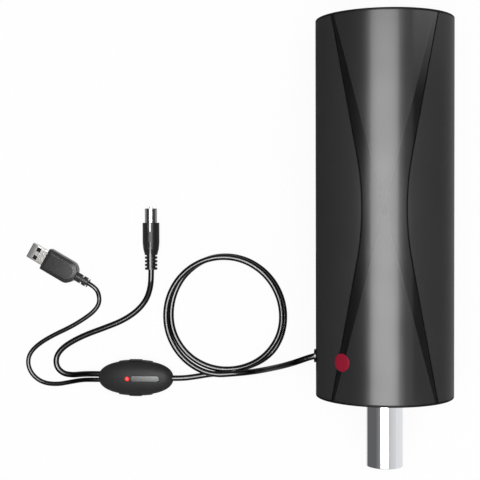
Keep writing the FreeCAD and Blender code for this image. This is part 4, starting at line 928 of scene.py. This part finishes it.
# %% Skin the bar over the crown
bar_low, bar_high = box_mm("pod_lens")
BAR_MIDDLE = (bar_low.x + bar_high.x) / 2 - POD_MIDDLE.x
BAR_HALF_LENGTH = (bar_high.x - bar_low.x) / 2
BAR_HALF_WIDTH = (bar_high.y - bar_low.y) / 2
BAR_PROUD = 0.35
BAR_SECTIONS = 41
BAR_COLUMNS = 17
BAR_FULLNESS = 4.0
mesh = bmesh.new()
sections = []
for t in spread(BAR_SECTIONS, -math.pi / 2, math.pi / 2):
    x = BAR_HALF_LENGTH * math.sin(t)
    past = max(abs(x) - (BAR_HALF_LENGTH - BAR_HALF_WIDTH), 0.0)
    half = math.sqrt(max(BAR_HALF_WIDTH ** 2 - past ** 2, 0.0))
    spot = BAR_MIDDLE + x
    section = []
    for turn in spread(BAR_COLUMNS, 0.0, math.pi):
        y = -half * math.cos(turn)
        lift = BAR_PROUD * bulge(math.cos(turn), BAR_FULLNESS) * bulge(past / BAR_HALF_WIDTH, BAR_FULLNESS)
        section.append(Vector((spot, y, pod_top(spot, y / pod_flank(spot)) + lift)))
    sections.append(section)
skin(mesh, sections, closed=False)
bar_place = (POD_MIDDLE.x, POD_MIDDLE.y, PARTING_HEIGHT + PARTING_GAP)
bmesh.ops.translate(mesh, vec=bar_place, verts=mesh.verts)
light_bar = hang("light_bar", mesh, "lens", ["pod_lens"])

# %% [markdown]
# ## Power plug
#
# The grip is moulded over the wires: a block with slanted rear corners, rounded edges, and a raised panel
# with a wide bevel for the thumb. It is skinned as a pile of outlines, one for each change of its flank, and
# the bevel is two outlines with a wide step in between. The boot behind it is round, with slots cut in from
# both sides so that it can flex.

# %% Outline of the grip
PLUG_MOUTH = (-251.2, -12.19, 4.3)
PLUG_TURN = 150.3
PLUG_PLACE = Matrix.Translation(PLUG_MOUTH) @ Matrix.Rotation(math.radians(PLUG_TURN), 4, "Z")
GRIP_LENGTH = 27.0
GRIP_HALF_WIDTH = 8.5
GRIP_CORNER = 4.4
CORNER_SLANT = math.pi / 4
MOUTH_CORNERS = 2
MOUTH_ROUND = 0.9
REAR_ROUND = 2.6
ROUND_SHARE = 0.45
CORNER_STEPS = 6
GRIP_SHARP = 15.0
# inset and height of each outline: underside, flank with its parting groove, bevel, and thumb panel
GRIP_LEVELS = [
    (1.0, -4.3), (0.4, -4.1), (0.1, -3.7), (0.0, -3.2), (0.0, -0.35), (0.3, -0.25), (0.3, 0.25), (0.0, 0.35),
    (0.0, 3.3), (0.08, 3.6), (0.3, 3.8), (2.3, 4.55), (2.6, 4.62), (3.0, 4.64)]


def grip_corners(inset):
    """The six corners of the grip seen from above, moved in by the inset; the mouth is at x = 0."""
    half = GRIP_HALF_WIDTH - inset
    rear = GRIP_LENGTH - inset
    cut = GRIP_CORNER - inset * math.tan(CORNER_SLANT / 2)
    return [(-inset, -half), (-inset, half), (-rear + cut, half), (-rear, half - cut), (-rear, cut - half),
            (-rear + cut, -half)]


def rounded(corners, z):
    """The outline with each corner turned into a short curve: small at the mouth, wide at the rear."""
    points = []
    count = len(corners)
    for k in range(count):
        before, corner, after = (Vector(corners[(k + i) % count]) for i in (-1, 0, 1))
        room = ROUND_SHARE * min((before - corner).length, (after - corner).length)
        radius = MOUTH_ROUND if k < MOUTH_CORNERS else min(REAR_ROUND, room)
        start = corner + (before - corner).normalized() * radius
        end = corner + (after - corner).normalized() * radius
        for t in spread(CORNER_STEPS, 0.0, 1.0):
            flat = start * (1 - t) ** 2 + corner * 2 * t * (1 - t) + end * t ** 2
            points.append(Vector((flat.x, flat.y, z)))
    return points


print("grip in mm:", GRIP_LENGTH, "long,", 2 * GRIP_HALF_WIDTH, "wide, outlines:", len(GRIP_LEVELS))

# %% Skin the grip and its boot
BOOT_LENGTH = 10.6
BOOT_RADIUS = 3.5
BOOT_HALF_HEIGHT = 2.6
BOOT_ROOT = 1.0
BOOT_EDGE = 0.3
BOOT_SIDES = 32
BOOT_SLOTS = 2
BOOT_SLOT = 1.4
BOOT_PITCH = 4.4
SLOT_FLOOR = 1.75


def boot_ring(x, radius, half_width):
    """A ring across the boot, cut off flat at both sides where a slot is."""
    turns = full_turn(BOOT_SIDES)
    sides = [max(-half_width, min(half_width, radius * math.cos(t))) for t in turns]
    height = BOOT_HALF_HEIGHT * radius / BOOT_RADIUS
    return [Vector((x, y, height * math.sin(t))) for y, t in zip(sides, turns)]


mesh = bmesh.new()
skin(mesh, [rounded(grip_corners(inset), z) for inset, z in GRIP_LEVELS], caps=True)
boot_end = -GRIP_LENGTH - BOOT_LENGTH
rings = [boot_ring(BOOT_ROOT - GRIP_LENGTH, BOOT_RADIUS, BOOT_RADIUS)]
for number in range(1, BOOT_SLOTS + 1):
    slot_start = -GRIP_LENGTH - number * BOOT_PITCH
    slot_end = slot_start - BOOT_SLOT
    for x, half_width in ((slot_start, BOOT_RADIUS), (slot_start, SLOT_FLOOR),
                          (slot_end, SLOT_FLOOR), (slot_end, BOOT_RADIUS)):
        rings.append(boot_ring(x, BOOT_RADIUS, half_width))
rings.append(boot_ring(boot_end + BOOT_EDGE, BOOT_RADIUS, BOOT_RADIUS))
rings.append(boot_ring(boot_end, BOOT_RADIUS - BOOT_EDGE, BOOT_RADIUS))
rows = skin(mesh, rings)
mesh.faces.new(rows[-1])
bmesh.ops.transform(mesh, matrix=PLUG_PLACE, verts=mesh.verts)
plug_grip = hang("power_plug_grip", mesh, "plug_rubber", ["power_plug_body"], sharp_angle=GRIP_SHARP)
# the harder grade shares its slot with the aerial plug's grip
plug_grip.data.materials[0] = finishes["grip_pvc"]

# %% [markdown]
# ## Shell of the power plug
#
# The shell is folded from thin sheet round the tongue, with two windows above and two below where springs of
# the socket catch. It is made flat-sided from a ring of points that has a point at each window's corner, so
# the windows are simply quads left out, and then the sheet is given its thickness.

# %% Fold the shell
SHELL_HALF_WIDTH = 6.0
SHELL_HALF_HEIGHT = 2.25
SHELL_SHEET = 0.35
SHELL_BEND = 0.45
BEND_STEPS = 4
SHELL_SEAT = 7.0
SHELL_REACH = 13.4
WINDOW_NEAR = 5.75
WINDOW_FAR = 8.75
WINDOW_INNER = 1.7
WINDOW_OUTER = 4.7
# the quads of a ring's upper half that lie between a window's outer and inner edge
WINDOW_QUADS = (1, 3)
LEAD_IN = 0.12
LEAD_IN_LENGTH = 0.4


def shell_ring(x, inset):
    """A ring round the shell at x, with a point at each corner of the windows."""
    half, high = SHELL_HALF_WIDTH - inset, SHELL_HALF_HEIGHT - inset
    flat = half - SHELL_BEND
    across = [flat, WINDOW_OUTER, WINDOW_INNER, -WINDOW_INNER, -WINDOW_OUTER, -flat]
    bend = [(half - SHELL_BEND + SHELL_BEND * math.sin(t), high - SHELL_BEND + SHELL_BEND * math.cos(t))
            for t in spread(BEND_STEPS, 0.0, math.pi / 2)[1:]]
    upper_half = [(y, high) for y in across]
    upper_half += [(-y, z) for y, z in bend] + [(-y, -z) for y, z in reversed(bend)]
    return [Vector((x, side * y, side * z)) for side in (1, -1) for y, z in upper_half]


mesh = bmesh.new()
stations = [(-SHELL_SEAT, 0.0), (0.0, 0.0), (WINDOW_NEAR, 0.0), (WINDOW_FAR, 0.0),
            (SHELL_REACH - LEAD_IN_LENGTH, 0.0), (SHELL_REACH, LEAD_IN)]
rows = skin(mesh, [shell_ring(x, inset) for x, inset in stations])
near, far = rows[stations.index((WINDOW_NEAR, 0.0))], rows[stations.index((WINDOW_FAR, 0.0))]
half_count = len(near) // 2
windows = []
for k in [start + quad for start in (0, half_count) for quad in WINDOW_QUADS]:
    corners = {near[k], near[k + 1], far[k], far[k + 1]}
    windows += [face for face in near[k].link_faces if set(face.verts) == corners]
bmesh.ops.delete(mesh, geom=windows, context="FACES")
bmesh.ops.recalc_face_normals(mesh, faces=mesh.faces)
bmesh.ops.solidify(mesh, geom=mesh.faces[:], thickness=SHELL_SHEET)
bmesh.ops.transform(mesh, matrix=PLUG_PLACE, verts=mesh.verts)
plug_shell = hang("folded_plug_shell", mesh, "nickel", ["power_plug_shell"])

# %% [markdown]
# ## Lead in the aerial plug's groove
#
# The aerial plug's grip has a groove along its lower half, and the lead's jacket shows in it as a bright
# line. The cord's curve ends where it enters the plug, so this short strip of jacket carries the line on.

# %% Strip of jacket in the groove
body_low, body_high = box_mm("aerial_plug_body")
GROOVE_START = 14.0
GROOVE_FLOOR = (body_low.z + body_high.z) / 2 + TV_LEAD_RADIUS
# half width and height over the groove's floor, across the strip
STRIP_SECTION = [(0.85, 0.0), (0.8, 0.6), (0.65, 0.7), (-0.65, 0.7), (-0.8, 0.6), (-0.85, 0.0)]
STRIP_SHARP = 10.0
strip_middle = (body_low.x + body_high.x) / 2
mesh = bmesh.new()
skin(mesh, [[Vector((strip_middle + x, y, GROOVE_FLOOR + z)) for x, z in STRIP_SECTION]
            for y in (body_low.y, body_high.y - GROOVE_START)], caps=True)
lead_strip = hang("lead_in_groove", mesh, "cord_jacket", [], sharp_angle=STRIP_SHARP)

# %% [markdown]
# ## What hangs on which cord
#
# The pieces of the pod and of the aerial plug, which hang on the cords, are gathered in two lists.

pod_pieces = [crowned_shell, rounded_shell, light_bar]
pod_pieces += [nodes["pod_" + name] for name in ("led", "board", "choke")]
aerial_pieces = [lead_strip]
aerial_pieces += [nodes["aerial_plug_" + name] for name in ("barrel", "insulator", "pin", "body")]
